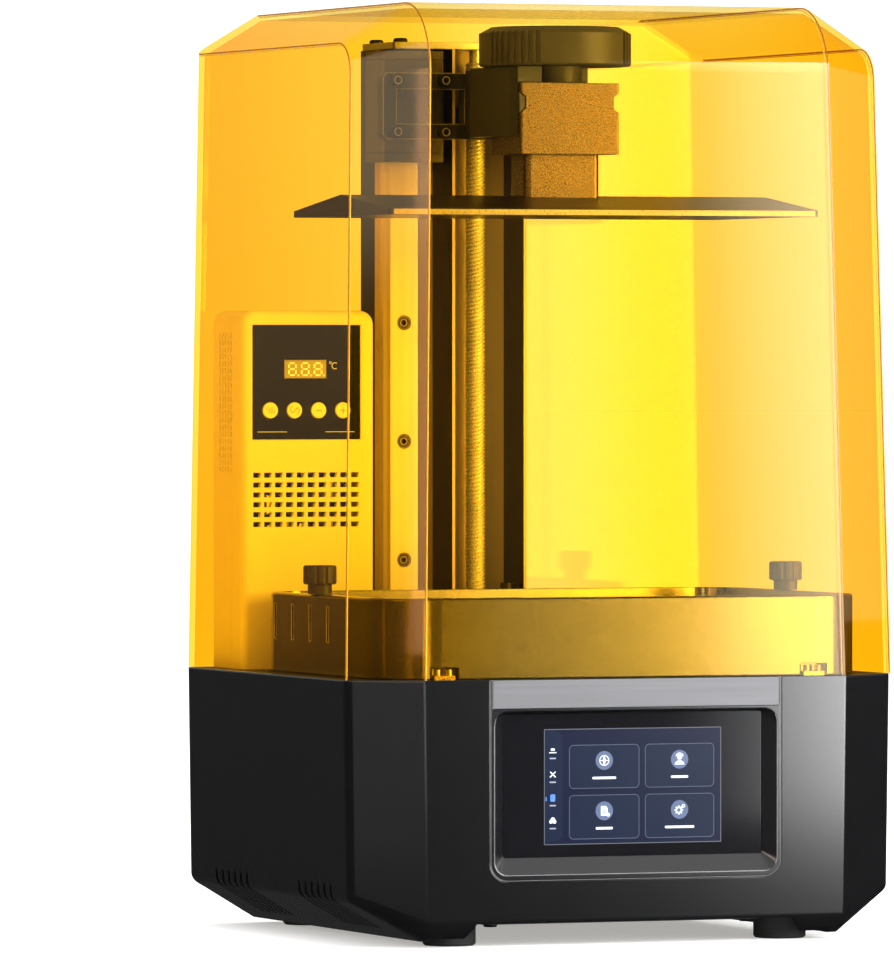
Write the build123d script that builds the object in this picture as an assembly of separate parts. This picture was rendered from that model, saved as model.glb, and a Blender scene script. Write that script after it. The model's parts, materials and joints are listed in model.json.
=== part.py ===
"""Desktop resin printer: base, lift column, heater, vat, platform and lift-off hood.

Millimetres. +X is the printer's right seen from the front, -Y is its front and +Z is up.
The origin is under the middle of the printer, on the surface that it stands on.
"""
from build123d import *
import os
from math import cos, radians, sin

# ---------------------------------------------------------------- overall sizes
WIDTH = 290.0
DEPTH = 244.0
HEIGHT = 460.0
SPLIT_Z = 130.0  # top of the base, where the hood begins
WALL = 3.0
BAND_X = 33.4  # width of the slanted band around each side, measured across
BAND_Y = 20.0  # depth of that band, measured from the front
BASE_LOW_Z = 3.0  # lower rim of the base housing
BACK_RADIUS = 7.0
HALF_W = WIDTH / 2
HALF_D = DEPTH / 2

# ---------------------------------------------------------------- hood
HOOD_GAP = 0.3
HOOD_SIDE_LEAN = 0.0183  # mm inwards for each mm of height
HOOD_FRONT_LEAN = 0.0257
HOOD_NOSE_RADIUS = 34.0
HOOD_SIDE_RADIUS = 16.0

# ---------------------------------------------------------------- base
BASE_SIDE_LEAN = -0.013
BASE_NOSE_RADIUS = 10.0
BASE_SIDE_RADIUS = 4.0
HIP_RADIUS = 6.0  # between a side face and the bevel below it
RECESS_Z = 11.5  # underside of the raised floor between the feet
FLOOR_Z = 14.5  # top of that floor
RIM_X = 106.0
ARCH_HALF_TOP = 84.0
ARCH_HALF_LOW = 92.0
DECK_T = 3.0
DECK_LOW_Z = SPLIT_Z - DECK_T
FIT = 0.2  # gap around pieces that drop into an opening
FOOT_R = 13.0
FOOT_X = 88.0
FOOT_Y = 95.0
VENT_W = 3.0
VENT_PITCH = 8.5
VENT_COUNT = 6
VENT_FIRST_Y = 36.4
VENT_LOW_Z = 8.0
VENT_HIGH_Z = 29.7

# ---------------------------------------------------------------- front panel
BEZEL_HALF = 76.8
BEZEL_LOW_Z = 32.2
BEZEL_HIGH_Z = 129.7
BEZEL_BACK_Y = -112.0
PANEL_Y = -117.0  # front of the touchscreen glass, set back in the bezel
PANEL_HALF = 68.6
PANEL_LOW_Z = 43.0
PANEL_HIGH_Z = 113.2
PANEL_T = 2.5
DISPLAY_HALF = 49.5
STRIP_HALF = 75.5
STRIP_LOW_Z = 116.0
STRIP_T = 1.4

# ---------------------------------------------------------------- exposure unit
AREA_Y = -17.4  # middle of the build area, front to back
GLASS_X = 230.6
GLASS_Y = 136.6
SCREEN_T = 2.0
SCREEN_LIP = 9.4  # how far the screen panel reaches past its glass
BOARD_X = 120.0
BOARD_Y = 84.0
BOARD_Z = 50.0  # top of the LED board
LED_COLUMNS = 6
LED_ROWS = 4
LED_PITCH = 18.0
LENS_R = 8.0
FIN_COUNT = 13

# ---------------------------------------------------------------- lift column
RAIL_X = -41.0
RAIL_W = 15.0
RAIL_FRONT_Y = 83.0
WEB_Y = 98.0  # front of the column's back web
COLUMN_LEFT = -51.0
COLUMN_RIGHT = 22.0
COLUMN_BACK_Y = 117.5
COLUMN_TOP_Z = 442.2
COLUMN_SHEET = 3.0
FLANGE_T = 1.5
FLANGE_FRONT_Y = 71.0
TOP_PLATE_T = 3.4
SCREW_X = -1.0
SCREW_Y = 86.0
SCREW_R = 5.0
SCREW_END_R = 4.0
JOURNAL_R = 3.0
SHAFT_R = 2.5
RUNNING = 0.05  # radial clearance of a shaft in its bore
COUPLING_LOW_Z = 132.0
COUPLING_HIGH_Z = 156.0
MOTOR_SIDE = 42.3
RAIL_SCREW_Z = 184.0
RAIL_SCREW_PITCH = 60.0
RAIL_SCREW_COUNT = 5

# ---------------------------------------------------------------- carriage, at its top stop
BLOCK_W = 34.0
BLOCK_L = 56.0
BLOCK_MID_Z = 413.0
BRACKET_FRONT_Y = 62.0
BRACKET_BACK_Y = 70.0
BRACKET_LOW_Z = 396.5
BRACKET_HIGH_Z = 429.7
BRACKET_LEFT = -60.5
BRACKET_RIGHT = 20.0
WINDOW_LEFT = -53.5
WINDOW_RIGHT = -16.5
WINDOW_LOW_Z = 404.0
WINDOW_HIGH_Z = 421.7
BOLT_PITCH = 26.0
LUG_LOW_Z = 405.0
LUG_HIGH_Z = 413.0
ARM_TOP_Z = 431.0
ARM_PLATE_Z = 423.0
ARM_WEB_X = -29.6
ARM_WEB_T = 2.8

# ---------------------------------------------------------------- platform
PLATE_X = 229.0
PLATE_Y = 132.0
PLATE_LOW_Z = 356.3
PLATE_EDGE = 3.0
PLATE_RIDGE = 10.6
POST_X = 40.4
POST_Y = 20.4
ADAPTER_HALF = 26.5
ADAPTER_FRONT_Y = -37.0
ADAPTER_BACK_Y = 2.2
ADAPTER_LOW_Z = 387.3
ADAPTER_HIGH_Z = 422.7
GROOVE_MID_Z = 412.8
GROOVE_MOUTH = 10.8
GROOVE_FLOOR = 6.0
GROOVE_DEPTH = 2.8
KNOB_R = 37.9
KNOB_LOW_Z = 431.3
KNOB_HIGH_Z = 450.7
COLLAR_R = 13.4
STUD_R = 4.0
KNOB_GRIPS = 3
GRIP_SPAN = 48.0  # degrees of rim that each ribbed grip covers
GRIP_DIRECTION = 213.6
RIBS_PER_GRIP = 8

# ---------------------------------------------------------------- vat
VAT_HALF = 129.5
VAT_FRONT_Y = -114.0
VAT_BACK_Y = 64.0
VAT_LOW_Z = 130.5
VAT_HIGH_Z = 169.5
VAT_CORNER_R = 30.0
POOL_HALF = 117.5
POOL_CORNER_R = 10.0
POOL_Y = 142.0
POOL_TOP_HALF = 121.5
POOL_TOP_FRONT_Y = -104.0
POOL_TOP_BACK_Y = 56.5
RING_W = 4.6
RING_CORNER_R = 20.0
THUMB_X = 125.5
THUMB_R = 8.25
THUMB_NECK_R = 6.0
THUMB_SHANK_R = 2.5
THUMB_FLUTES = 12

# ---------------------------------------------------------------- heater
HEATER_LEFT = -133.5
HEATER_RIGHT = -62.0
HEATER_FRONT_Y = 70.0
HEATER_BACK_Y = 116.0
HEATER_TOP_Z = 310.0
HEATER_WALL = 3.0
HEATER_STEP_Y = 84.5  # where the front frame ends
HEATER_STEP = 1.2
HEATER_CORNER_R = 7.0
HEATER_RIM_R = 3.6
SIDE_VENT_ROWS = 10
SIDE_VENT_COLUMNS = 5
SIDE_VENT_FIRST_Y = 89.0
SIDE_VENT_PITCH_Y = 3.9
SIDE_VENT_LOW_Z = 230.0
SIDE_VENT_PITCH_Z = 3.55
SIDE_VENT_LEAN = 26.0
FASCIA_LEFT = -127.8
FASCIA_RIGHT = -70.0
FASCIA_LOW_Z = 245.4
FASCIA_HIGH_Z = 302.7
FASCIA_T = 2.0
BUTTON_FIRST_X = -118.4
BUTTON_PITCH = 13.0
BUTTON_Z = 259.9
BUTTON_R = 4.0
BUTTON_COUNT = 4
GRILLE_COLUMNS = 10
GRILLE_ROWS = 6
GRILLE_LOW_Z = 201.4
GRILLE_PITCH_X = 5.85
GRILLE_PITCH_Z = 4.95

# ---------------------------------------------------------------- rear panel
REAR_Y = 119.0  # outer face of the rear panel, set in behind the housing wall
REAR_T = 1.6
INLET_X = -72.0
INLET_Z = 62.0
FAN_X = 70.0
FAN_Z = 68.0
FAN_SIDE = 60.0
FAN_T = 15.0
ROCKER_X = -56.5
ROCKER_Y = 111.5
ROCKER_TILT = 9.0
USB_Y = -80.0
USB_Z = 60.0


# ================================================================ shape helpers
def block(x0, x1, y0, y1, z0, z1):
    """Box between two opposite corners."""
    return Pos((x0 + x1) / 2, (y0 + y1) / 2, (z0 + z1) / 2) * Box(x1 - x0, y1 - y0, z1 - z0)


def rod(x, y, z0, z1, radius):
    """Upright cylinder."""
    return Pos(x, y, (z0 + z1) / 2) * Cylinder(radius, z1 - z0)


def rod_y(x, z, y0, y1, radius):
    """Cylinder that lies front to back."""
    return Pos(x, (y0 + y1) / 2, z) * Rot(90, 0, 0) * Cylinder(radius, y1 - y0)


def rod_x(y, z, x0, x1, radius):
    """Cylinder that lies side to side."""
    return Pos((x0 + x1) / 2, y, z) * Rot(0, 90, 0) * Cylinder(radius, x1 - x0)


def round_edges(solid, axis, radius):
    """Rounds every edge that runs along axis."""
    return fillet(solid.edges().filter_by(axis), radius)


def slab(half_x, y0, y1, z0, z1, radius):
    """Plate with rounded upright corners, centred on X."""
    sketch = RectangleRounded(2 * half_x, y1 - y0, radius)
    return extrude(Pos(0, (y0 + y1) / 2, z0) * sketch, z1 - z0)


def prism_x(points, x0, x1):
    """Solid between x0 and x1 whose outline is given as (y, z) points."""
    outline = Plane(origin=(x0, 0, 0), x_dir=(0, 1, 0), z_dir=(1, 0, 0))
    return extrude(outline * make_face(Polyline(*points, close=True)), x1 - x0)


def prism_y(points, y0, y1):
    """Solid between y0 and y1 whose outline is given as (x, z) points."""
    outline = Plane(origin=(0, y1, 0), x_dir=(1, 0, 0), z_dir=(0, -1, 0))
    return extrude(outline * make_face(Polyline(*points, close=True)), y1 - y0)


def prism_z(points, z0, z1):
    """Solid between z0 and z1 whose outline is given as (x, y) points."""
    return extrude(Pos(0, 0, z0) * make_face(Polyline(*points, close=True)), z1 - z0)


def screw_head(place, radius, height):
    """Button head standing on the XY plane of place."""
    head = Pos(0, 0, height / 2) * Cylinder(radius, height)
    head = fillet(head.edges().sort_by(Axis.Z)[-1], height * 0.6)
    socket = Pos(0, 0, height) * extrude(RegularPolygon(radius * 0.45, 6), -height * 0.6)
    return place * (head - socket)


def save(name, shape):
    """Writes one named piece."""
    export_step(shape, f"parts/{name}.step")


def group(solids):
    """Several separate solids as one piece."""
    return Compound(children=[s.solids()[0] for s in solids])


# ================================================================ banded bodies
def side_section(x, lean, points, corner, radius):
    """Side outline on a plane at x that leans inwards, with one corner rounded."""
    place = Plane(origin=(x, 0, SPLIT_Z), x_dir=(0, 1, 0), z_dir=(1, 0, lean))
    outline = make_face(Polyline(*points, close=True))
    nose = outline.vertices().sort_by_distance((*corner, 0))[0]
    return place * fillet(nose, radius)


def banded_body(inset, lean, front_lean, z0, z1, radii, nose_on_top):
    """Body with a slanted band around each side; inset moves every outer face inwards."""
    diagonal = (BAND_X**2 + BAND_Y**2) ** 0.5
    inner_x = HALF_W - BAND_X - inset * (diagonal - BAND_X) / BAND_Y
    band_y = (HALF_W - inset - inner_x) * BAND_Y / BAND_X

    def section(x, side_lean, step, radius):
        low = z0 - SPLIT_Z + (0 if nose_on_top else step)
        high = z1 - SPLIT_Z - (step if nose_on_top else 0)
        front = -HALF_D + inset + step
        back = HALF_D - inset
        front_low = (front + front_lean * low, low)
        front_high = (front + front_lean * high, high)
        points = (front_low, front_high, (back, high), (back, low))
        return side_section(x, side_lean, points, front_high if nose_on_top else front_low, radius)

    middle = section(0, 0, 0, radii[0])
    edge = section(inner_x, lean, 0, radii[0])
    face = section(HALF_W - inset, lean, band_y, radii[1])
    half = loft([middle, edge, face], ruled=True)
    return half + mirror(half, about=Plane.YZ)


def round_back(body, radius):
    """Rounds the two upright edges at the back of a banded body."""
    tall = body.edges().filter_by(lambda e: e.bounding_box().size.Z > 60)
    back = tall.filter_by(lambda e: e.center().Y > HALF_D - WALL - 1)
    return fillet(back.filter_by(lambda e: abs(e.center().X) > RIM_X), radius)


def hood_body(inset, z0):
    """Outer or inner form of the hood."""
    radii = (HOOD_NOSE_RADIUS - inset, HOOD_SIDE_RADIUS - inset)
    body = banded_body(inset, HOOD_SIDE_LEAN, HOOD_FRONT_LEAN, z0, HEIGHT - inset, radii, True)
    return round_back(body, BACK_RADIUS - inset)


def base_body(inset, z0, z1):
    """Outer or inner form of the base."""
    radii = (BASE_NOSE_RADIUS - inset, BASE_SIDE_RADIUS - inset)
    body = banded_body(inset, BASE_SIDE_LEAN, 0, z0, z1, radii, False)
    return round_back(body, BACK_RADIUS - inset)


def round_hips(body):
    """Rounds the long edge on each side where the side face meets the bevel below it."""
    level = body.edges().filter_by(lambda e: e.bounding_box().size.Y > DEPTH / 2)
    hips = level.filter_by(lambda e: abs(e.center().X) > HALF_W - BAND_Y and e.center().Z < SPLIT_Z / 2)
    return fillet(hips, HIP_RADIUS)


# ================================================================ hood and base casing
def make_hood():
    """Clear hood, one moulding open underneath."""
    return hood_body(0, SPLIT_Z + HOOD_GAP) - hood_body(WALL, SPLIT_Z - 1)


def side_vents():
    """Slots that run down each side face and round onto the bevel below it."""
    cuts = []
    for index in range(VENT_COUNT):
        y = VENT_FIRST_Y + index * VENT_PITCH
        for sign_x in (-1, 1):
            for sign_y in (-1, 1):
                slot = Box(40, VENT_W, VENT_HIGH_Z - VENT_LOW_Z)
                middle = (VENT_HIGH_Z + VENT_LOW_Z) / 2
                cuts.append(Pos(sign_x * (HALF_W - 7), sign_y * y, middle) * slot)
    return cuts


def make_base_housing():
    """Moulded casing with a recessed underside, a front opening and a rear opening."""
    low_rim = block(-RIM_X, RIM_X, -117, 117, 0, RECESS_Z)
    cavity = base_body(WALL, BASE_LOW_Z + WALL, SPLIT_Z + 1) - block(-150, 150, -130, 130, 0, FLOOR_Z)
    arch = ((-ARCH_HALF_LOW, 0), (ARCH_HALF_LOW, 0), (ARCH_HALF_TOP, RECESS_Z), (-ARCH_HALF_TOP, RECESS_Z))
    front = block(-BEZEL_HALF - FIT, BEZEL_HALF + FIT, -125, -115, BEZEL_LOW_Z - FIT, SPLIT_Z + 5)
    front = fillet(front.edges().filter_by(Axis.Y).group_by(Axis.Z)[0], 9)
    rear = round_edges(block(-108, 108, 115, 125, 28, 112), Axis.Y, 4)
    usb = block(130, 150, USB_Y - 7.4, USB_Y + 7.4, USB_Z - 3.4, USB_Z + 3.4)
    floor_hole = block(-62, 62, -92, 92, RECESS_Z - 1, FLOOR_Z + 1)
    outer = round_hips(base_body(0, BASE_LOW_Z, SPLIT_Z))
    housing = outer - low_rim - cavity - prism_y(arch, -130, 130)
    housing = housing - front - rear - usb - floor_hole - side_vents()
    ledges = []
    for x in (-138.5, 138.5):
        for y in (-70, 5, 70):
            ledges.append(block(x - 3.6, x + 3.6, y - 6, y + 6, DECK_LOW_Z - 4, DECK_LOW_Z))
    return housing + ledges


def make_base_bottom_plate():
    """Steel plate that closes the hole in the floor."""
    return round_edges(block(-74, 74, -105, 105, RECESS_Z - 1.5, RECESS_Z), Axis.Z, 5)


def make_base_top_plate():
    """Deck that carries the screen, the vat and the lift column."""
    deck = base_body(WALL + FIT, BASE_LOW_Z + 10, SPLIT_Z) & block(-150, 150, -130, 130, DECK_LOW_Z, SPLIT_Z)
    for x in (-THUMB_X, THUMB_X):
        deck += rod(x, AREA_Y, DECK_LOW_Z - 8, DECK_LOW_Z, 5)
    half_x, half_y = GLASS_X / 2 + FIT, GLASS_Y / 2 + FIT
    opening = block(-half_x, half_x, AREA_Y - half_y, AREA_Y + half_y, 120, 135)
    cuts = [opening, block(-78, 78, -125, BEZEL_BACK_Y + 0.5, 120, 135)]
    cuts += [rod(x, AREA_Y, 110, 135, THUMB_SHANK_R + RUNNING) for x in (-THUMB_X, THUMB_X)]
    cuts += [rod(SCREW_X, SCREW_Y, 120, 135, 11.3), rod(-98, 95, 120, 135, 6)]
    return deck - cuts


def make_rubber_feet():
    """Four soft pads under the raised floor."""
    pads = []
    for x in (-FOOT_X, FOOT_X):
        for y in (-FOOT_Y, FOOT_Y):
            pad = rod(x, y, 0, RECESS_Z, FOOT_R)
            pads.append(chamfer(pad.edges().group_by(Axis.Z)[0], 1))
    return group(pads)


def make_housing_screws():
    """Button-head screws of the bottom plate, the rear panel and the column's top plate."""
    screws = []
    for x in (-68, 68):
        for y in (-99, 0, 99):
            screws.append(screw_head(Pos(x, y, RECESS_Z - 1.5) * Rot(180, 0, 0), 3.4, 1.4))
    for x in (-102, 102):
        for z in (33, 107):
            screws.append(screw_head(Pos(x, REAR_Y, z) * Rot(-90, 0, 0), 3.0, 1.6))
    for x in (COLUMN_LEFT + 6, COLUMN_RIGHT - 6):
        for y in (78, 111):
            screws.append(screw_head(Pos(x, y, COLUMN_TOP_Z + TOP_PLATE_T), 3.6, 2.2))
    return group(screws)


# ================================================================ front panel
def make_front_bezel():
    """Frame whose bevelled walls lead back to the touchscreen glass."""
    frame = block(-BEZEL_HALF, BEZEL_HALF, -HALF_D, BEZEL_BACK_Y, BEZEL_LOW_Z, BEZEL_HIGH_Z)
    frame = fillet(frame.edges().filter_by(Axis.Y).group_by(Axis.Z)[0], 8.8)
    mouth_low, mouth_high = 34.6, 114.6
    facing = {"x_dir": (1, 0, 0), "z_dir": (0, -1, 0)}
    mouth = Plane(origin=(0, -HALF_D - 0.01, (mouth_low + mouth_high) / 2), **facing)
    seat = Plane(origin=(0, PANEL_Y, (PANEL_LOW_Z + PANEL_HIGH_Z) / 2), **facing)
    recess = loft([
        mouth * RectangleRounded(2 * 75.0, mouth_high - mouth_low, 7),
        seat * RectangleRounded(2 * PANEL_HALF, PANEL_HIGH_Z - PANEL_LOW_Z, 1.5),
    ])
    pocket = block(-PANEL_HALF, PANEL_HALF, PANEL_Y, PANEL_Y + PANEL_T, PANEL_LOW_Z, PANEL_HIGH_Z)
    window = block(-DISPLAY_HALF - FIT, DISPLAY_HALF + FIT, -118, -110, 46.3, 107.7)
    strip = block(-STRIP_HALF - FIT, STRIP_HALF + FIT, -125, -HALF_D + STRIP_T, STRIP_LOW_Z - FIT, 135)
    return frame - recess - pocket - window - strip


def make_trim_strip():
    """Brushed metal strip under the hood's front edge."""
    return block(-STRIP_HALF, STRIP_HALF, -HALF_D, -HALF_D + STRIP_T, STRIP_LOW_Z, BEZEL_HIGH_Z)


def make_touchscreen_glass():
    """Black cover glass of the touchscreen."""
    low, high = PANEL_LOW_Z + FIT, PANEL_HIGH_Z - FIT
    glass = block(-PANEL_HALF + FIT, PANEL_HALF - FIT, PANEL_Y, PANEL_Y + PANEL_T, low, high)
    return round_edges(glass, Axis.Y, 1.2)


def make_touchscreen_display():
    """Display module behind the glass, with its driver board."""
    module = block(-DISPLAY_HALF, DISPLAY_HALF, PANEL_Y + PANEL_T, -108, 46.5, 107.5)
    board = block(-58, 58, -108, -106.4, 42, 110)
    chips = [block(x, x + 12, -106.4, -104.6, 70, 82) for x in (-30, 0, 30)]
    return module + board + chips


# ================================================================ exposure unit
def area_block(size_x, size_y, z0, z1):
    """Box centred on the build area."""
    return block(-size_x / 2, size_x / 2, AREA_Y - size_y / 2, AREA_Y + size_y / 2, z0, z1)


def make_screen_glass():
    """Glass over the masking screen, level with the deck."""
    return area_block(GLASS_X, GLASS_Y, DECK_LOW_Z, SPLIT_Z)


def make_screen_panel():
    """Masking screen clamped under the deck."""
    return area_block(GLASS_X + SCREEN_LIP, GLASS_Y + SCREEN_LIP, DECK_LOW_Z - SCREEN_T, DECK_LOW_Z)


def make_light_box():
    """Tapered reflector between the LED board and the screen."""
    top_z = DECK_LOW_Z - SCREEN_T
    low_z = BOARD_Z

    def funnel(shrink):
        low = Pos(0, AREA_Y, low_z) * Rectangle(BOARD_X - 4 - shrink, BOARD_Y - 4 - shrink)
        high = Pos(0, AREA_Y, top_z) * Rectangle(GLASS_X - shrink, GLASS_Y - shrink)
        return loft([low, high])

    flange = area_block(GLASS_X + SCREEN_LIP, GLASS_Y + SCREEN_LIP, top_z - 2, top_z)
    foot = area_block(BOARD_X, BOARD_Y, low_z, low_z + 2)
    return (flange + foot + funnel(0)) - funnel(4)


def led_places():
    """Middle of each LED."""
    for column in range(LED_COLUMNS):
        for row in range(LED_ROWS):
            x = (column - (LED_COLUMNS - 1) / 2) * LED_PITCH
            y = AREA_Y + (row - (LED_ROWS - 1) / 2) * LED_PITCH
            yield x, y


def make_led_board():
    """Board with a grid of ultraviolet LEDs."""
    board = area_block(BOARD_X, BOARD_Y, BOARD_Z - 1.6, BOARD_Z)
    leds = [block(x - 2, x + 2, y - 2, y + 2, BOARD_Z, BOARD_Z + 1.5) for x, y in led_places()]
    return board + leds


def make_lens_array():
    """Plate with one lens above each LED, on four legs."""
    plate_z = BOARD_Z + 8
    plate = area_block(BOARD_X - 10, BOARD_Y - 10, plate_z, plate_z + 2)
    lenses = []
    for x, y in led_places():
        ball = Pos(x, y, plate_z - 4) * Sphere(LENS_R + 2)
        lenses.append(ball & block(x - 8, x + 8, y - 8, y + 8, plate_z + 1, plate_z + 8))
    legs = [rod(x, AREA_Y + y, BOARD_Z, plate_z, 2) for x in (-50, 50) for y in (-33, 33)]
    return plate + lenses + legs


def make_heat_sink():
    """Finned aluminium under the LED board."""
    top = BOARD_Z - 1.6
    sink = area_block(BOARD_X + 4, BOARD_Y + 4, top - 5, top)
    pitch = (BOARD_X + 2) / (FIN_COUNT - 1)
    for index in range(FIN_COUNT):
        x = (index - (FIN_COUNT - 1) / 2) * pitch
        sink += block(x - 1, x + 1, AREA_Y - 44, AREA_Y + 44, 20, top - 5)
    return sink


def make_mainboard():
    """Control board with its larger parts."""
    board = block(72, 130, -70, 60, 22, 23.6)
    parts = [block(76, 94, y, y + 14, 23.6, 30) for y in (-60, -36, -12, 12, 36)]
    chips = [block(104, 122, y, y + 18, 23.6, 27) for y in (-50, -10, 30)]
    return board + parts + chips


def make_power_supply():
    """Enclosed power supply with its terminal block."""
    case = round_edges(block(-124, -70, -50, 74, 19, 53), Axis.Y, 1.5)
    slots = [block(-115 + 8 * i, -111 + 8 * i, -30, 40, 52, 54) for i in range(5)]
    return case - slots + block(-117, -77, 74, 84, 22, 34)


# ================================================================ lift column
def make_z_column():
    """Folded and welded column: back web, two side walls and a channel round the screw."""
    web = block(COLUMN_LEFT, COLUMN_RIGHT, WEB_Y, WEB_Y + COLUMN_SHEET, SPLIT_Z, COLUMN_TOP_Z)
    back = WEB_Y + COLUMN_SHEET
    walls = [
        block(COLUMN_LEFT, COLUMN_LEFT + COLUMN_SHEET, back, COLUMN_BACK_Y, SPLIT_Z, COLUMN_TOP_Z),
        block(COLUMN_RIGHT - COLUMN_SHEET, COLUMN_RIGHT, back, COLUMN_BACK_Y, SPLIT_Z, COLUMN_TOP_Z),
    ]
    flanges = [
        block(x, x + FLANGE_T, FLANGE_FRONT_Y, WEB_Y, SPLIT_Z, COLUMN_TOP_Z) for x in (-19.5, 19.5)
    ]
    holes = [rod_y(RAIL_X, z, WEB_Y - 1, back + 1, 2.1) for z in rail_screw_heights()]
    return web + walls + flanges - holes


def rail_screw_heights():
    """Height of each screw along the rail."""
    return [RAIL_SCREW_Z + RAIL_SCREW_PITCH * index for index in range(RAIL_SCREW_COUNT)]


def make_column_top_plate():
    """Plate across the top of the column, bored for the screw's bearing."""
    plate = block(
        COLUMN_LEFT, COLUMN_RIGHT, FLANGE_FRONT_Y, COLUMN_BACK_Y, COLUMN_TOP_Z, COLUMN_TOP_Z + TOP_PLATE_T
    )
    return round_edges(plate, Axis.Z, 3) - rod(SCREW_X, SCREW_Y, 400, 460, 6.52)


def make_linear_rail():
    """Guide rail with a waist along each flank and a row of sunk screw holes."""
    half = RAIL_W / 2
    outline = [(RAIL_X - half, WEB_Y), (RAIL_X - half, 92.5), (RAIL_X - half + 1.6, 91)]
    outline += [(RAIL_X - half + 1.6, 88), (RAIL_X - half, 86.5), (RAIL_X - half, RAIL_FRONT_Y)]
    outline += [(2 * RAIL_X - x, y) for x, y in reversed(outline)]
    rail = prism_z(outline, SPLIT_Z + 4, COLUMN_TOP_Z - 2.2)
    for z in rail_screw_heights():
        rail -= rod_y(RAIL_X, z, RAIL_FRONT_Y - 1, RAIL_FRONT_Y + 5.3, 3.75)
        rail -= rod_y(RAIL_X, z, RAIL_FRONT_Y, WEB_Y + 1, 2.25)
    return rail


def make_rail_screws():
    """Socket screws sunk in the rail."""
    screws = []
    for z in rail_screw_heights():
        head = rod_y(RAIL_X, z, RAIL_FRONT_Y + 0.6, RAIL_FRONT_Y + 5.2, 3.6)
        shank = rod_y(RAIL_X, z, RAIL_FRONT_Y + 5.2, WEB_Y + COLUMN_SHEET + 2, 1.95)
        socket = Pos(RAIL_X, RAIL_FRONT_Y + 0.6, z) * Rot(90, 0, 0) * extrude(RegularPolygon(1.9, 6), -2)
        screws.append(head + shank - socket)
    return group(screws)


def make_stepper_motor():
    """Motor under the deck that turns the lead screw."""
    half = MOTOR_SIDE / 2
    body = block(SCREW_X - half, SCREW_X + half, SCREW_Y - half, SCREW_Y + half, 87, DECK_LOW_Z)
    body = chamfer(body.edges().filter_by(Axis.Z), 4)
    body += rod(SCREW_X, SCREW_Y, DECK_LOW_Z, DECK_LOW_Z + 2, 11)
    return body - rod(SCREW_X, SCREW_Y, 108, 135, SHAFT_R + RUNNING)


def make_motor_shaft():
    """Shaft that comes out of the motor's nose."""
    return rod(SCREW_X, SCREW_Y, 110, 143, SHAFT_R)


def make_shaft_coupling():
    """Clamping coupling between the motor shaft and the screw."""
    coupling = rod(SCREW_X, SCREW_Y, COUPLING_LOW_Z, COUPLING_HIGH_Z, 9.5)
    coupling = chamfer(coupling.edges().filter_by(GeomType.CIRCLE), 0.8)
    bores = [rod(SCREW_X, SCREW_Y, 130, 143.5, SHAFT_R), rod(SCREW_X, SCREW_Y, 143.5, 160, SCREW_END_R)]
    slits = [block(SCREW_X, SCREW_X + 12, SCREW_Y - 12, SCREW_Y + 12, z, z + 0.8) for z in (141, 147)]
    return coupling - bores - slits


def make_lead_screw():
    """Screw with a turned end for the coupling and a journal for the top bearing."""
    end = rod(SCREW_X, SCREW_Y, 143.8, COUPLING_HIGH_Z + 0.5, SCREW_END_R)
    thread = rod(SCREW_X, SCREW_Y, COUPLING_HIGH_Z + 0.5, 436, SCREW_R)
    return end + thread + rod(SCREW_X, SCREW_Y, 436, COLUMN_TOP_Z + 3, JOURNAL_R)


def make_screw_top_bearing():
    """Bearing that steadies the top of the screw."""
    ring = rod(SCREW_X, SCREW_Y, COLUMN_TOP_Z, COLUMN_TOP_Z + TOP_PLATE_T, 6.5)
    return ring - rod(SCREW_X, SCREW_Y, 400, 460, JOURNAL_R + RUNNING)


def make_homing_sensor():
    """Slotted light gate that sees the carriage's flag at the bottom of its travel."""
    gate = block(12, 19.4, 74.5, 84, 156, 172)
    return gate - block(13.9, 17.1, 70, 90, 163, 175)


# ================================================================ carriage
def bolt_places():
    """The four bolts that hold the bracket to the rail block."""
    half = BOLT_PITCH / 2
    return [(RAIL_X + dx, BLOCK_MID_Z + dz) for dx in (-half, half) for dz in (-half, half)]


def make_rail_block():
    """Bearing block that runs on the rail."""
    half, gap = BLOCK_W / 2, 0.3
    low, high = BLOCK_MID_Z - BLOCK_L / 2, BLOCK_MID_Z + BLOCK_L / 2
    body = block(RAIL_X - half, RAIL_X + half, BRACKET_BACK_Y, 94, low, high)
    body = chamfer(body.edges().filter_by(Axis.Z), 1.2)
    rail_half = RAIL_W / 2 + gap
    body -= block(RAIL_X - rail_half, RAIL_X + rail_half, RAIL_FRONT_Y - gap, 100, low - 1, high + 1)
    for x, z in bolt_places():
        body -= rod_y(x, z, 60, 80, 2.1)
    for z in (low + 4.5, high - 4.5):
        groove = block(RAIL_X - 20, RAIL_X + 20, 60, 100, z - 0.4, z + 0.4)
        body -= groove - block(RAIL_X - half + 0.8, RAIL_X + half - 0.8, BRACKET_BACK_Y + 0.8, 94, low, high)
    return body


def make_carriage_bracket():
    """Plate that joins the rail block, the screw's nut and the arm."""
    plate = block(
        BRACKET_LEFT, BRACKET_RIGHT, BRACKET_FRONT_Y, BRACKET_BACK_Y, BRACKET_LOW_Z, BRACKET_HIGH_Z
    )
    plate = chamfer(plate.edges().filter_by(Axis.Y).group_by(Axis.X)[0], 2)
    plate -= block(WINDOW_LEFT, WINDOW_RIGHT, 60, 72, WINDOW_LOW_Z, WINDOW_HIGH_Z)
    for x, z in bolt_places():
        plate -= rod_y(x, z, 60, 72, 2.1)
    lug = block(SCREW_X - 13, SCREW_X + 13, BRACKET_BACK_Y, 96.5, LUG_LOW_Z, LUG_HIGH_Z)
    flag = block(12, 16, 76, 82, LUG_LOW_Z, LUG_LOW_Z + 2) + block(15, 16, 76, 82, 394, LUG_LOW_Z + 2)
    return plate + (lug - rod(SCREW_X, SCREW_Y, 400, 420, 8)) + flag


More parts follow.
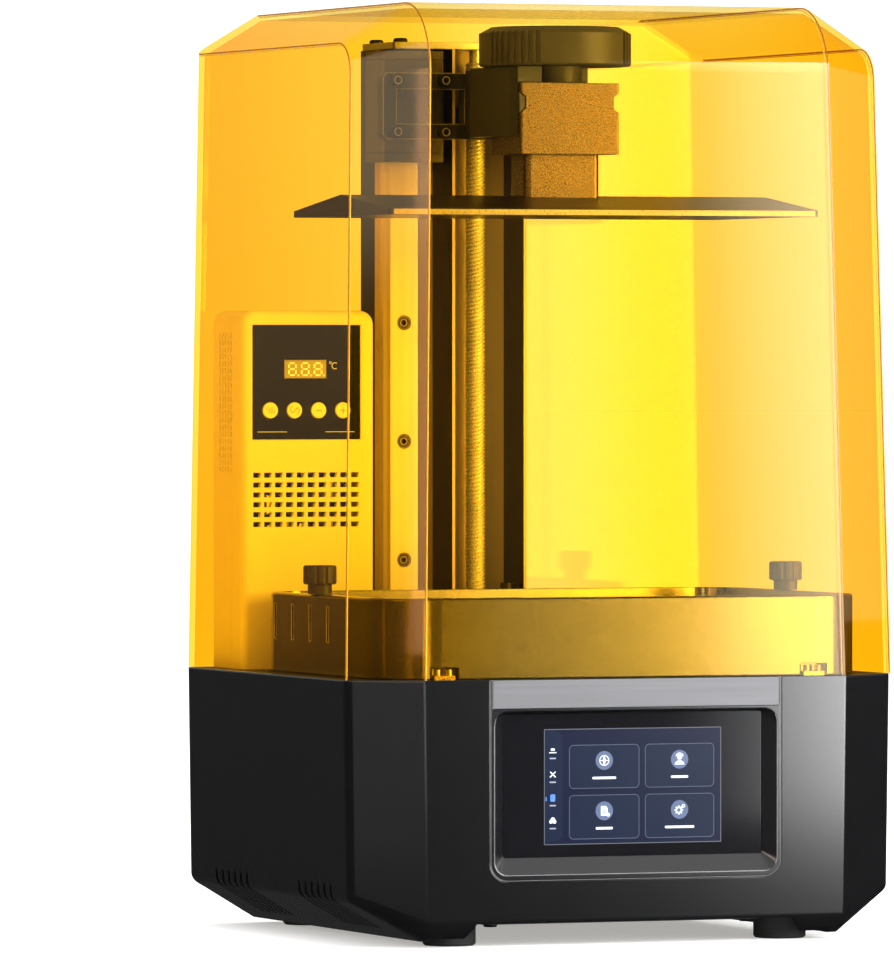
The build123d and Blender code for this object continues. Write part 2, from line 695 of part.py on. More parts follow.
def make_bracket_screws():
    """Socket screws that hold the bracket to the rail block."""
    screws = []
    for x, z in bolt_places():
        head = rod_y(x, z, BRACKET_FRONT_Y - 4, BRACKET_FRONT_Y, 3.5)
        shank = rod_y(x, z, BRACKET_FRONT_Y, 78, 1.95)
        socket = Pos(x, BRACKET_FRONT_Y - 4, z) * Rot(90, 0, 0) * extrude(RegularPolygon(1.7, 6), -2)
        screws.append(head + shank - socket)
    return group(screws)


def make_lead_nut():
    """Flanged nut on the lead screw."""
    nut = rod(SCREW_X, SCREW_Y, LUG_LOW_Z - 4, LUG_LOW_Z, 11) + rod(SCREW_X, SCREW_Y, LUG_LOW_Z, 421, 8)
    return nut - rod(SCREW_X, SCREW_Y, 390, 430, SCREW_R + RUNNING)


def groove_outline(side, clearance):
    """Section of the guide groove in the adapter's side, as (x, z) points."""
    mouth = GROOVE_MOUTH / 2 - clearance
    floor = GROOVE_FLOOR / 2 - clearance
    outer = side * (ADAPTER_HALF + 0.5)
    inner = side * (ADAPTER_HALF - GROOVE_DEPTH + clearance)
    mid = GROOVE_MID_Z
    return ((outer, mid - mouth), (inner, mid - floor), (inner, mid + floor), (outer, mid + mouth))


def make_platform_arm():
    """Arm from the carriage, with a forked plate and one guide rib for the platform."""
    web_inner = ARM_WEB_X + ARM_WEB_T
    slot_r = COLLAR_R + 0.5
    outline = [(BRACKET_RIGHT, BRACKET_FRONT_Y), (-16, BRACKET_FRONT_Y), (-16, 46), (ARM_WEB_X, 22)]
    outline += [(ARM_WEB_X, -30), (web_inner, -34), (-slot_r, -34), (-slot_r, -12), (BRACKET_RIGHT, -12)]
    arm = prism_z(outline, BRACKET_LOW_Z, ARM_TOP_Z)
    arm -= block(web_inner, 40, -60, ADAPTER_BACK_Y + 1, 380, ARM_PLATE_Z)
    arm -= block(-22, 15, 9, 56, 380, ARM_PLATE_Z)
    arm -= block(-30, -13, 24, 40, 380, 400)
    arm -= rod(0, AREA_Y, 380, 440, slot_r)
    arm -= block(-slot_r, slot_r, -60, AREA_Y, 380, 440)
    rib = prism_y(groove_outline(-1, 0.3), ADAPTER_FRONT_Y + 0.4, ADAPTER_BACK_Y)
    return arm + rib


# ================================================================ platform
def make_build_plate():
    """Flat plate with a roof-shaped back."""
    front, back = AREA_Y - PLATE_Y / 2, AREA_Y + PLATE_Y / 2
    edge_z = PLATE_LOW_Z + PLATE_EDGE
    ridge_z = PLATE_LOW_Z + PLATE_RIDGE
    outline = ((front, PLATE_LOW_Z), (back, PLATE_LOW_Z), (back, edge_z), (AREA_Y, ridge_z), (front, edge_z))
    plate = prism_x(outline, -PLATE_X / 2, PLATE_X / 2)
    return round_edges(plate, Axis.Z, 2)


def make_platform_post():
    """Post between the plate's ridge and the adapter."""
    post = block(
        -POST_X / 2, POST_X / 2, AREA_Y - POST_Y / 2, AREA_Y + POST_Y / 2, PLATE_LOW_Z + 5, ADAPTER_LOW_Z
    )
    return round_edges(post, Axis.Z, 3) - make_build_plate()


def make_platform_adapter():
    """Block with a guide groove in each side, which the arm's rib enters."""
    body = block(
        -ADAPTER_HALF, ADAPTER_HALF, ADAPTER_FRONT_Y, ADAPTER_BACK_Y, ADAPTER_LOW_Z, ADAPTER_HIGH_Z
    )
    body = round_edges(body, Axis.Z, 1)
    for side in (-1, 1):
        body -= prism_y(groove_outline(side, 0), ADAPTER_FRONT_Y - 1, ADAPTER_BACK_Y + 1)
    return body - rod(0, AREA_Y, 400, 430, STUD_R + RUNNING)


def make_clamp_knob():
    """Knob with three ribbed grips, on the stud that clamps the platform to the arm."""
    head = rod(0, AREA_Y, KNOB_LOW_Z, KNOB_HIGH_Z, KNOB_R)
    head = chamfer(head.edges().group_by(Axis.Z)[-1], 3.2, 6)
    head = chamfer(head.edges().group_by(Axis.Z)[0], 0.8)
    rib_step = GRIP_SPAN / RIBS_PER_GRIP
    for grip in range(KNOB_GRIPS):
        for rib in range(RIBS_PER_GRIP):
            angle = GRIP_DIRECTION + grip * 360 / KNOB_GRIPS + (rib - (RIBS_PER_GRIP - 1) / 2) * rib_step
            x, y = KNOB_R * cos(radians(angle)), KNOB_R * sin(radians(angle))
            head -= Pos(x, AREA_Y + y, 440) * Rot(0, 0, angle) * Box(2.6, 2.4, 40)
    collar = rod(0, AREA_Y, ADAPTER_HIGH_Z + 0.3, KNOB_LOW_Z, COLLAR_R)
    return head + collar + rod(0, AREA_Y, ADAPTER_HIGH_Z - 18, ADAPTER_HIGH_Z + 0.3, STUD_R)


# ================================================================ vat
def make_vat_tub():
    """Deep tub with a sloping front wall inside, open underneath for the film."""
    middle = (VAT_FRONT_Y + VAT_BACK_Y) / 2
    length = VAT_BACK_Y - VAT_FRONT_Y
    plan = Pos(0, middle, VAT_LOW_Z) * RectangleRounded(2 * VAT_HALF, length, VAT_CORNER_R)
    tub = extrude(plan, VAT_HIGH_Z - VAT_LOW_Z)
    tub = chamfer(tub.edges().group_by(Axis.Z)[-1], 0.8)
    top_mid = (POOL_TOP_FRONT_Y + POOL_TOP_BACK_Y) / 2
    low = Pos(0, AREA_Y, 137) * RectangleRounded(2 * POOL_HALF, POOL_Y, POOL_CORNER_R)
    high = Pos(0, top_mid, 169.6) * RectangleRounded(
        2 * POOL_TOP_HALF, POOL_TOP_BACK_Y - POOL_TOP_FRONT_Y, POOL_CORNER_R + 4
    )
    tub -= loft([low, high])
    tub -= slab(POOL_HALF, AREA_Y - POOL_Y / 2, AREA_Y + POOL_Y / 2, 120, 137.01, POOL_CORNER_R)
    ring_half = POOL_HALF + RING_W + FIT
    ring_y = POOL_Y / 2 + RING_W + FIT
    tub -= slab(ring_half, AREA_Y - ring_y, AREA_Y + ring_y, 120, VAT_LOW_Z + 3.5, RING_CORNER_R)
    for side in (-1, 1):
        tub -= rod(side * THUMB_X, AREA_Y, 120, 180, THUMB_SHANK_R + RUNNING)
        for y in (34, 10, -14, -38):
            edge = side * VAT_HALF
            tub -= block(edge - 1.1, edge + 1.1, y - 1.6, y + 1.6, 146.6, 164.3)
        tub -= block(side * 98 - 7.5, side * 98 + 7.5, VAT_FRONT_Y - 1, VAT_FRONT_Y + 7, 120, 136)
    return tub


def make_film_ring():
    """Clamp ring that stretches the film under the tub."""
    outer_half, outer_y = POOL_HALF + RING_W, POOL_Y / 2 + RING_W
    low, high = VAT_LOW_Z + 0.2, VAT_LOW_Z + 3.2
    ring = slab(outer_half, AREA_Y - outer_y, AREA_Y + outer_y, low, high, RING_CORNER_R)
    return ring - slab(POOL_HALF, AREA_Y - POOL_Y / 2, AREA_Y + POOL_Y / 2, 120, 140, POOL_CORNER_R)


def make_vat_film():
    """Clear release film that is the vat's floor."""
    half, half_y = POOL_HALF + RING_W - 2, POOL_Y / 2 + RING_W - 2
    return slab(half, AREA_Y - half_y, AREA_Y + half_y, VAT_LOW_Z - 0.1, VAT_LOW_Z + 0.2, RING_CORNER_R - 2)


def make_thumbscrew(x):
    """Fluted screw that holds the vat down to the deck."""
    head_low, head_high = 174.6, 184.0
    head = rod(x, AREA_Y, head_low, head_high, THUMB_R)
    head = chamfer(head.edges().filter_by(GeomType.CIRCLE), 0.7)
    for index in range(THUMB_FLUTES):
        angle = radians(index * 360 / THUMB_FLUTES)
        groove_x = x + (THUMB_R + 0.5) * cos(angle)
        groove_y = AREA_Y + (THUMB_R + 0.5) * sin(angle)
        head -= rod(groove_x, groove_y, 170, 190, 1.3)
    neck = rod(x, AREA_Y, VAT_HIGH_Z + 0.3, head_low, THUMB_NECK_R)
    return head + neck + rod(x, AREA_Y, 121, VAT_HIGH_Z + 0.3, THUMB_SHANK_R)


def make_vat_locating_pins():
    """Stop blocks with guide pins at the front of the vat."""
    stops = []
    for side in (-1, 1):
        x = side * 98
        stop = block(x - 5.5, x + 5.5, VAT_FRONT_Y - 0.6, VAT_FRONT_Y + 4, SPLIT_Z, SPLIT_Z + 2)
        stop += rod(x - 3, VAT_FRONT_Y + 2, SPLIT_Z + 2, SPLIT_Z + 5, 1.6)
        stops.append(stop + rod(x + 3, VAT_FRONT_Y + 2, SPLIT_Z + 2, SPLIT_Z + 5, 1.6))
    return group(stops)


# ================================================================ heater
def heater_grille():
    """Leaning slots of the heater's front grille."""
    cuts = []
    for row in range(GRILLE_ROWS):
        for column in range(GRILLE_COLUMNS):
            x = FASCIA_LEFT + 0.3 + column * GRILLE_PITCH_X
            z = GRILLE_LOW_Z + row * GRILLE_PITCH_Z
            points = ((x, z), (x + 3.6, z), (x + 4.2, z + 2.5), (x, z + 2.5))
            cuts.append(prism_y(points, HEATER_FRONT_Y - 1, HEATER_FRONT_Y + HEATER_WALL + 1))
    return cuts


def heater_side_slots():
    """Zigzag rows of small slots through the narrower box's left side."""
    cuts = []
    for row in range(2 * SIDE_VENT_ROWS):
        lean = SIDE_VENT_LEAN if row % 2 else -SIDE_VENT_LEAN
        for column in range(SIDE_VENT_COLUMNS):
            y = SIDE_VENT_FIRST_Y + column * SIDE_VENT_PITCH_Y
            z = SIDE_VENT_LOW_Z + row * SIDE_VENT_PITCH_Z
            cuts.append(Pos(HEATER_LEFT + 2, y, z) * Rot(lean, 0, 0) * Box(8, 1.1, 2.7))
    return cuts


def heater_form():
    """Outer form: a front frame with a rounded rim, and a slightly narrower box behind it."""
    front = block(HEATER_LEFT, HEATER_RIGHT, HEATER_FRONT_Y, HEATER_STEP_Y, SPLIT_Z, HEATER_TOP_Z)
    rear = block(
        HEATER_LEFT + HEATER_STEP, HEATER_RIGHT, HEATER_STEP_Y, HEATER_BACK_Y, SPLIT_Z, HEATER_TOP_Z
    )
    front = fillet(front.edges().filter_by(Axis.Y).group_by(Axis.Z)[-1], HEATER_CORNER_R)
    rear = fillet(rear.edges().filter_by(Axis.Y).group_by(Axis.Z)[-1], HEATER_CORNER_R)
    rim = front.faces().sort_by(Axis.Y)[0].edges().sort_by(Axis.Z)[1:]
    front = fillet(rim, HEATER_RIM_R)
    return front + fillet(rear.edges().filter_by(Axis.Z).group_by(Axis.Y)[-1], 2.5)


def make_heater_housing():
    """Casing that stands on the deck behind the vat."""
    inner = block(
        HEATER_LEFT + HEATER_WALL,
        HEATER_RIGHT - HEATER_WALL,
        HEATER_FRONT_Y + HEATER_WALL,
        HEATER_BACK_Y - HEATER_WALL,
        SPLIT_Z - 1,
        HEATER_TOP_Z - HEATER_WALL,
    )
    seat_back = HEATER_FRONT_Y + FASCIA_T
    seat = block(
        FASCIA_LEFT - FIT, FASCIA_RIGHT + FIT, 69, seat_back, FASCIA_LOW_Z - FIT, FASCIA_HIGH_Z + FIT
    )
    hole = block(FASCIA_LEFT + 3, FASCIA_RIGHT - 3, 69, 75, FASCIA_LOW_Z + 3, FASCIA_HIGH_Z - 3)
    vent = [block(-128 + 8 * i, -124 + 8 * i, 114 - 3, 118, 190, 240) for i in range(8)]
    return heater_form() - inner - seat - hole - heater_grille() - heater_side_slots() - vent


def button_places():
    """Middle of each heater button."""
    return [BUTTON_FIRST_X + BUTTON_PITCH * index for index in range(BUTTON_COUNT)]


def make_heater_front_panel():
    """Glossy fascia with a display window and four button holes."""
    front = HEATER_FRONT_Y + 0.1
    fascia = block(FASCIA_LEFT, FASCIA_RIGHT, front, HEATER_FRONT_Y + FASCIA_T, FASCIA_LOW_Z, FASCIA_HIGH_Z)
    fascia = round_edges(fascia, Axis.Y, 0.8)
    fascia -= block(-110.8, -87.7, 69, 75, 275.8, 285.4)
    for x in button_places():
        fascia -= rod_y(x, BUTTON_Z, 69, 75, BUTTON_R + 0.3)
    return fascia


def make_heater_display():
    """Display and button board behind the fascia."""
    board = block(-124, -73.5, 79, 80.6, 250, 298)
    display = block(-110.6, -87.9, 70.6, 79, 276, 285.2)
    switches = [block(x - 3, x + 3, 75.6, 79, BUTTON_Z - 3, BUTTON_Z + 3) for x in button_places()]
    posts = [rod_y(x, z, 73.0, 79, 2) for x in (-122, -75.5) for z in (252, 296)]
    return board + display + switches + posts


def make_heater_button(x):
    """Push button with a flange that keeps it behind the fascia."""
    cap = rod_y(x, BUTTON_Z, HEATER_FRONT_Y - 0.6, 72.4, BUTTON_R)
    cap = fillet(cap.edges().sort_by(Axis.Y)[0], 0.4)
    return cap + rod_y(x, BUTTON_Z, 72.4, 74.6, BUTTON_R + 1)


def make_heater_element():
    """Finned heating element in the air path."""
    core = block(-124, -72, 88, 100, 250, 262)
    element = core
    for index in range(9):
        x = -122 + index * 6
        element += block(x, x + 1.2, 84, 104, 244, 268)
    return element + block(-128, -67.5, 90, 98, 254, 258)


# ================================================================ fans
def fan_frame(side, thickness, duct_r, hub_r):
    """Square fan frame on the XY plane, with a spindle held by four spokes."""
    frame = Pos(0, 0, thickness / 2) * Box(side, side, thickness)
    frame = round_edges(frame, Axis.Z, 3) - rod(0, 0, -1, thickness + 1, duct_r)
    reach = side / 2 - 4.5
    for x in (-reach, reach):
        for y in (-reach, reach):
            frame -= rod(x, y, -1, thickness + 1, 1.7)
    for angle in range(0, 360, 90):
        frame += Rot(0, 0, angle + 20) * block(hub_r - 2, duct_r + 1, -1.2, 1.2, 0, 2)
    return frame + rod(0, 0, 0, 2, hub_r) + rod(0, 0, 2, thickness - 2, 1.5)


def fan_rotor(thickness, duct_r, hub_r, blades):
    """Hub and pitched blades that run on the frame's spindle."""
    low, high = 2.6, thickness - 0.6
    rotor = rod(0, 0, low, high, hub_r)
    length = duct_r - 0.8 - hub_r + 2
    for index in range(blades):
        place = Pos(hub_r - 2 + length / 2, 0, (low + high) / 2)
        blade = place * Rot(38, 0, 0) * Box(length, 1.2, high - low)
        rotor += Rot(0, 0, index * 360 / blades) * blade
    rotor &= rod(0, 0, low, high, duct_r - 0.8)
    return rotor - rod(0, 0, 0, high - 1, 1.5 + RUNNING)


COOLING_FAN = Pos(FAN_X, REAR_Y - REAR_T, FAN_Z) * Rot(90, 0, 0)
COOLING_FAN_SIZE = (FAN_SIDE, FAN_T, 28.0, 12.5)
HEATER_FAN = Pos(-97.8, 76.0, 213) * Rot(-90, 0, 0)
HEATER_FAN_SIZE = (50.0, 12.0, 23.0, 10.0)


# ================================================================ rear panel
def make_rear_panel():
    """Steel panel that holds the power inlet and the fan grille."""
    inner = REAR_Y - REAR_T
    panel = round_edges(block(-113, 113, inner, REAR_Y, 23.5, 116), Axis.Y, 3)
    panel -= block(INLET_X - 28.2, INLET_X + 28.2, 110, 125, INLET_Z - 13.7, INLET_Z + 13.7)
    for index in range(9):
        z = FAN_Z - 24 + index * 6
        half = (27.0**2 - (z - FAN_Z) ** 2) ** 0.5
        panel -= block(FAN_X - half, FAN_X + half, 110, 125, z - 1.5, z + 1.5)
    return panel


def make_power_inlet():
    """Mains inlet and switch frame in one snap-in module."""
    flange = block(INLET_X - 31, INLET_X + 31, REAR_Y, REAR_Y + 2.2, INLET_Z - 16, INLET_Z + 16)
    flange = round_edges(flange, Axis.Y, 2)
    body = block(INLET_X - 28, INLET_X + 28, 96, REAR_Y, INLET_Z - 13.5, INLET_Z + 13.5)
    socket = round_edges(block(-97, -70, 105, 125, INLET_Z - 8.5, INLET_Z + 8.5), Axis.Y, 2)
    well = block(ROCKER_X - 9, ROCKER_X + 9, 106, 125, INLET_Z - 12.2, INLET_Z + 12.2)
    pins = [block(x - 1, x + 1, 104, 116.5, z - 2, z + 2) for x, z in ((-90, 59), (-77, 59), (-83.5, 66))]
    axle = rod_x(ROCKER_Y, INLET_Z, ROCKER_X - 10.5, ROCKER_X + 10.5, 1.55)
    return flange + body - socket - well - axle + pins


def make_power_rocker():
    """Switch rocker with two slanted faces, on its own stub axle."""
    slope = ((-10.6, 8.2), (0, 6.4), (10.6, 8.2), (10.6, 3), (4, -3.5), (-4, -3.5), (-10.6, 3))
    sketch = make_face(Polyline(*slope, close=True))
    place = Plane(origin=(ROCKER_X - 8.7, ROCKER_Y, INLET_Z), x_dir=(0, 0, 1), z_dir=(-1, 0, 0))
    rocker = extrude(place * sketch, -17.4)
    rocker += rod_x(ROCKER_Y, INLET_Z, ROCKER_X - 10, ROCKER_X + 10, 1.5)
    pivot = Axis((0, ROCKER_Y, INLET_Z), (1, 0, 0))
    return rocker.rotate(pivot, ROCKER_TILT)


def make_usb_port():
    """USB socket in the right side."""
    shell = block(126, 143.4, USB_Y - 7, USB_Y + 7, USB_Z - 3.1, USB_Z + 3.1)
    mouth = block(131, 145, USB_Y - 6.4, USB_Y + 6.4, USB_Z - 2.5, USB_Z + 2.5)
    tongue = block(130, 137.5, USB_Y - 5.6, USB_Y + 5.6, USB_Z + 0.2, USB_Z + 2)
    return shell - mouth + tongue


# ================================================================ all pieces
os.makedirs("parts", exist_ok=True)

pieces = {
    "hood": make_hood(),
    "base_housing": make_base_housing(),
    "base_bottom_plate": make_base_bottom_plate(),
    "base_top_plate": make_base_top_plate(),
    "rubber_feet": make_rubber_feet(),
    "housing_screws": make_housing_screws(),
    "front_bezel": make_front_bezel(),
    "trim_strip": make_trim_strip(),
    "touchscreen_glass": make_touchscreen_glass(),
    "touchscreen_display": make_touchscreen_display(),
    "screen_glass": make_screen_glass(),
    "screen_panel": make_screen_panel(),
    "light_box": make_light_box(),
    "led_board": make_led_board(),
    "lens_array": make_lens_array(),
    "heat_sink": make_heat_sink(),
    "mainboard": make_mainboard(),
    "power_supply": make_power_supply(),
    "z_column": make_z_column(),
    "column_top_plate": make_column_top_plate(),
    "linear_rail": make_linear_rail(),
    "rail_screws": make_rail_screws(),
    "stepper_motor": make_stepper_motor(),
    "motor_shaft": make_motor_shaft(),
    "shaft_coupling": make_shaft_coupling(),
    "lead_screw": make_lead_screw(),
    "screw_top_bearing": make_screw_top_bearing(),
    "homing_sensor": make_homing_sensor(),
    "rail_block": make_rail_block(),
    "carriage_bracket": make_carriage_bracket(),
    "bracket_screws": make_bracket_screws(),
    "lead_nut": make_lead_nut(),
    "platform_arm": make_platform_arm(),
    "build_plate": make_build_plate(),
    "platform_post": make_platform_post(),
    "platform_adapter": make_platform_adapter(),
    "clamp_knob": make_clamp_knob(),
    "vat_tub": make_vat_tub(),
    "film_ring": make_film_ring(),
    "vat_film": make_vat_film(),
    "thumbscrew_left": make_thumbscrew(-THUMB_X),
    "thumbscrew_right": make_thumbscrew(THUMB_X),
    "vat_locating_pins": make_vat_locating_pins(),
    "heater_housing": make_heater_housing(),
    "heater_front_panel": make_heater_front_panel(),
    "heater_display": make_heater_display(),
    "heater_element": make_heater_element(),
    "heater_fan_frame": HEATER_FAN * fan_frame(*HEATER_FAN_SIZE),
    "heater_fan_rotor": HEATER_FAN * fan_rotor(*HEATER_FAN_SIZE[1:], 7),
    "cooling_fan_frame": COOLING_FAN * fan_frame(*COOLING_FAN_SIZE),
    "cooling_fan_rotor": COOLING_FAN * fan_rotor(*COOLING_FAN_SIZE[1:], 9),
    "rear_panel": make_rear_panel(),
    "power_inlet": make_power_inlet(),
    "power_rocker": make_power_rocker(),
    "usb_port": make_usb_port(),
}
for number, place_x in enumerate(button_places(), 1):
    pieces[f"heater_button_{number}"] = make_heater_button(place_x)

for name, shape in pieces.items():
    save(name, shape)
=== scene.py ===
"""Looks for the desktop resin printer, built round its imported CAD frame. Metres, row frame."""

import json
from math import cos, pi, radians, sin

import bmesh
import bpy
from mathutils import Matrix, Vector


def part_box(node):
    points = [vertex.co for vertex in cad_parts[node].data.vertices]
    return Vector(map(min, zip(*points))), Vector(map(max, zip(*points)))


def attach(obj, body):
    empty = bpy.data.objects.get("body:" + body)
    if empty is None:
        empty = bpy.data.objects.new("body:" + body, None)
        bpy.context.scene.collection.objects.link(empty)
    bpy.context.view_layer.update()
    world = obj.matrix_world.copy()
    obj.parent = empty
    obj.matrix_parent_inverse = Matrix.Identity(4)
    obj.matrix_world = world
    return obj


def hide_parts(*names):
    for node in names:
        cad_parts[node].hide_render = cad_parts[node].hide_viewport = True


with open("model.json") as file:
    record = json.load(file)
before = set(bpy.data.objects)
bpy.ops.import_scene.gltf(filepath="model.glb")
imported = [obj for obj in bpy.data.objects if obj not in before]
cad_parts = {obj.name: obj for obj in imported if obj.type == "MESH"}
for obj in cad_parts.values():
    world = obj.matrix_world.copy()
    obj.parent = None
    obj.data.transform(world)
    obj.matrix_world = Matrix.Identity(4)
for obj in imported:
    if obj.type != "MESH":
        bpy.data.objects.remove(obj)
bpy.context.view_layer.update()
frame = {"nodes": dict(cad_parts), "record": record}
nodes = frame["nodes"]
MM = 0.001


# ---------------------------------------------------------------- node material helpers
def new_material(name):
    """Empty node material with its output, as (material, nodes, links, output)."""
    material = bpy.data.materials.new(name)
    material.use_nodes = True
    tree = material.node_tree
    tree.nodes.clear()
    out = tree.nodes.new("ShaderNodeOutputMaterial")
    return material, tree.nodes, tree.links, out


def coordinates(ns, ln, stretch):
    """Object coordinates, stretched along any axis."""
    place = ns.new("ShaderNodeTexCoord")
    mapping = ns.new("ShaderNodeMapping")
    mapping.inputs["Scale"].default_value = stretch
    ln.new(place.outputs["Object"], mapping.inputs["Vector"])
    return mapping.outputs["Vector"]


def noise(ns, ln, vector, scale, detail=3.0):
    """Noise texture's value."""
    node = ns.new("ShaderNodeTexNoise")
    node.inputs["Scale"].default_value = scale
    node.inputs["Detail"].default_value = detail
    ln.new(vector, node.inputs["Vector"])
    return node.outputs["Fac"]


def map_range(ns, ln, value, span, result=(0.0, 1.0), smooth=True):
    """Maps a value's span to a result range, with soft ends if smooth."""
    node = ns.new("ShaderNodeMapRange")
    node.interpolation_type = "SMOOTHSTEP" if smooth else "LINEAR"
    node.inputs["From Min"].default_value, node.inputs["From Max"].default_value = span
    node.inputs["To Min"].default_value, node.inputs["To Max"].default_value = result
    ln.new(value, node.inputs["Value"])
    return node.outputs["Result"]


def spread(ns, ln, value, low, high):
    """Maps a noise value, which is mostly 0.3 to 0.7, to a range."""
    return map_range(ns, ln, value, (0.3, 0.7), (low, high), smooth=False)


def maths(ns, ln, operation, value, *numbers):
    """Result of a Math node on a value, with numbers for its other inputs."""
    node = ns.new("ShaderNodeMath")
    node.operation = operation
    ln.new(value, node.inputs[0])
    for place, number in enumerate(numbers, 1):
        node.inputs[place].default_value = number
    return node.outputs[0]


# Sockets of a colour Mix node: its factor, its two colours and its result.
FACTOR, FIRST, SECOND, MIXED = 0, 6, 7, 2


def colour_mix(ns, first, second):
    """Mix node between two colours."""
    node = ns.new("ShaderNodeMix")
    node.data_type = "RGBA"
    node.inputs[FIRST].default_value = (*first, 1)
    node.inputs[SECOND].default_value = (*second, 1)
    return node


def paint_flank_shading(ns, ln, tone, flank, axis):
    """Paints shading into the colour: another colour on the faces that look sideways (axis X) or up (axis Z),
    in place of the shade or reflection that light gives them.
    """
    geometry = ns.new("ShaderNodeNewGeometry")
    split = ns.new("ShaderNodeSeparateXYZ")
    ln.new(geometry.outputs["True Normal"], split.inputs[0])
    if axis == "X":
        turned = maths(ns, ln, "ABSOLUTE", split.outputs["X"])
    else:
        turned = maths(ns, ln, "MAXIMUM", split.outputs[axis], 0.0)
    blend = colour_mix(ns, flank, flank)
    ln.new(turned, blend.inputs[FACTOR])
    ln.new(tone, blend.inputs[FIRST])
    return blend.outputs[MIXED]


def surface(name, colour, rough, metal=0.0, spec=0.5, coat=0.0, vary=0.08, patch=60.0, grain=900.0,
            bump=0.05, depth=0.00005, stretch=(1, 1, 1), edge=0.0005, rough_vary=0.06, flank=None, axis="X"):
    """Solid finish: colour that drifts a little, uneven roughness, fine grain and softened edges; with flank,
    painted shading on the faces that look sideways or up.
    """
    material, ns, ln, out = new_material(name)
    shader = ns.new("ShaderNodeBsdfPrincipled")
    vector = coordinates(ns, ln, stretch)
    broad = noise(ns, ln, vector, patch)
    fine = noise(ns, ln, vector, grain, 2.0)
    blend = colour_mix(ns, [c * (1 - vary) for c in colour], [min(1.0, c * (1 + vary)) for c in colour])
    ln.new(spread(ns, ln, broad, 0, 1), blend.inputs[FACTOR])
    tone = blend.outputs[MIXED]
    # painted shading: faces that look sideways or up take the flank colour in place of shade or reflection
    if flank:
        tone = paint_flank_shading(ns, ln, tone, flank, axis)
    ln.new(tone, shader.inputs["Base Color"])
    smoothest = max(0.02, rough - rough_vary)
    ln.new(spread(ns, ln, fine, smoothest, rough + rough_vary), shader.inputs["Roughness"])
    shader.inputs["Metallic"].default_value = metal
    shader.inputs["Specular IOR Level"].default_value = spec
    shader.inputs["Coat Weight"].default_value = coat
    shader.inputs["Coat Roughness"].default_value = 0.08
    relief = ns.new("ShaderNodeBump")
    relief.inputs["Strength"].default_value = bump
    relief.inputs["Distance"].default_value = depth
    ln.new(fine, relief.inputs["Height"])
    if edge:
        soft = ns.new("ShaderNodeBevel")
        soft.samples = 4
        soft.inputs["Radius"].default_value = edge
        ln.new(soft.outputs["Normal"], relief.inputs["Normal"])
    ln.new(relief.outputs["Normal"], shader.inputs["Normal"])
    ln.new(shader.outputs["BSDF"], out.inputs["Surface"])
    return material


def clear(name, tint, rough, gloss=0.04, most=1.0, deep=None, haze=0.0):
    """Clear sheet: tinted see-through, deeper towards its sides, with gloss that grows at grazing angles."""
    material, ns, ln, out = new_material(name)
    facing = ns.new("ShaderNodeLayerWeight")
    facing.inputs["Blend"].default_value = 0.5
    power = maths(ns, ln, "POWER", facing.outputs["Facing"], 5.0)
    rise = maths(ns, ln, "MULTIPLY_ADD", power, most - gloss, gloss)
    through = ns.new("ShaderNodeBsdfTransparent")
    vector = coordinates(ns, ln, (1, 1, 1))
    tone = colour_mix(ns, tint, deep or (tint[0], tint[1] * 0.985, tint[2] * 0.94))
    if deep:
        split = ns.new("ShaderNodeSeparateXYZ")
        ln.new(vector, split.inputs[0])
        across = maths(ns, ln, "ABSOLUTE", split.outputs["X"])
        ln.new(map_range(ns, ln, across, DEEP_SPAN), tone.inputs[FACTOR])
    else:
        ln.new(spread(ns, ln, noise(ns, ln, vector, 6.0), 0, 1), tone.inputs[FACTOR])
    ln.new(tone.outputs[MIXED], through.inputs["Color"])
    shine = ns.new("ShaderNodeBsdfGlossy")
    patchy = noise(ns, ln, vector, 40.0)
    ln.new(spread(ns, ln, patchy, rough * 0.7, rough * 1.3), shine.inputs["Roughness"])
    mix = ns.new("ShaderNodeMixShader")
    ln.new(rise, mix.inputs[0])
    ln.new(through.outputs[0], mix.inputs[1])
    ln.new(shine.outputs[0], mix.inputs[2])
    last = mix.outputs[0]
    if haze:
        dull = ns.new("ShaderNodeBsdfPrincipled")
        dull.inputs["Base Color"].default_value = (*tint, 1)
        dull.inputs["Roughness"].default_value = 0.25
        cover = ns.new("ShaderNodeMixShader")
        cover.inputs[0].default_value = haze
        ln.new(last, cover.inputs[1])
        ln.new(dull.outputs[0], cover.inputs[2])
        last = cover.outputs[0]
    ln.new(last, out.inputs["Surface"])
    return material


def lit(name, colour, strength=1.0, rough=0.25):
    """Lit mark on a display: its own light, with a faint unevenness, under a glossy surface."""
    material, ns, ln, out = new_material(name)
    shader = ns.new("ShaderNodeBsdfPrincipled")
    shader.inputs["Base Color"].default_value = (*[c * 0.25 for c in colour], 1)
    shader.inputs["Roughness"].default_value = rough
    shader.inputs["Specular IOR Level"].default_value = 0.2
    tone = colour_mix(ns, [c * 0.92 for c in colour], [c * 1.06 for c in colour])
    vector = coordinates(ns, ln, (1, 1, 1))
    ln.new(spread(ns, ln, noise(ns, ln, vector, 35.0), 0, 1), tone.inputs[FACTOR])
    ln.new(tone.outputs[MIXED], shader.inputs["Emission Color"])
    shader.inputs["Emission Strength"].default_value = strength
    ln.new(shader.outputs["BSDF"], out.inputs["Surface"])
    return material


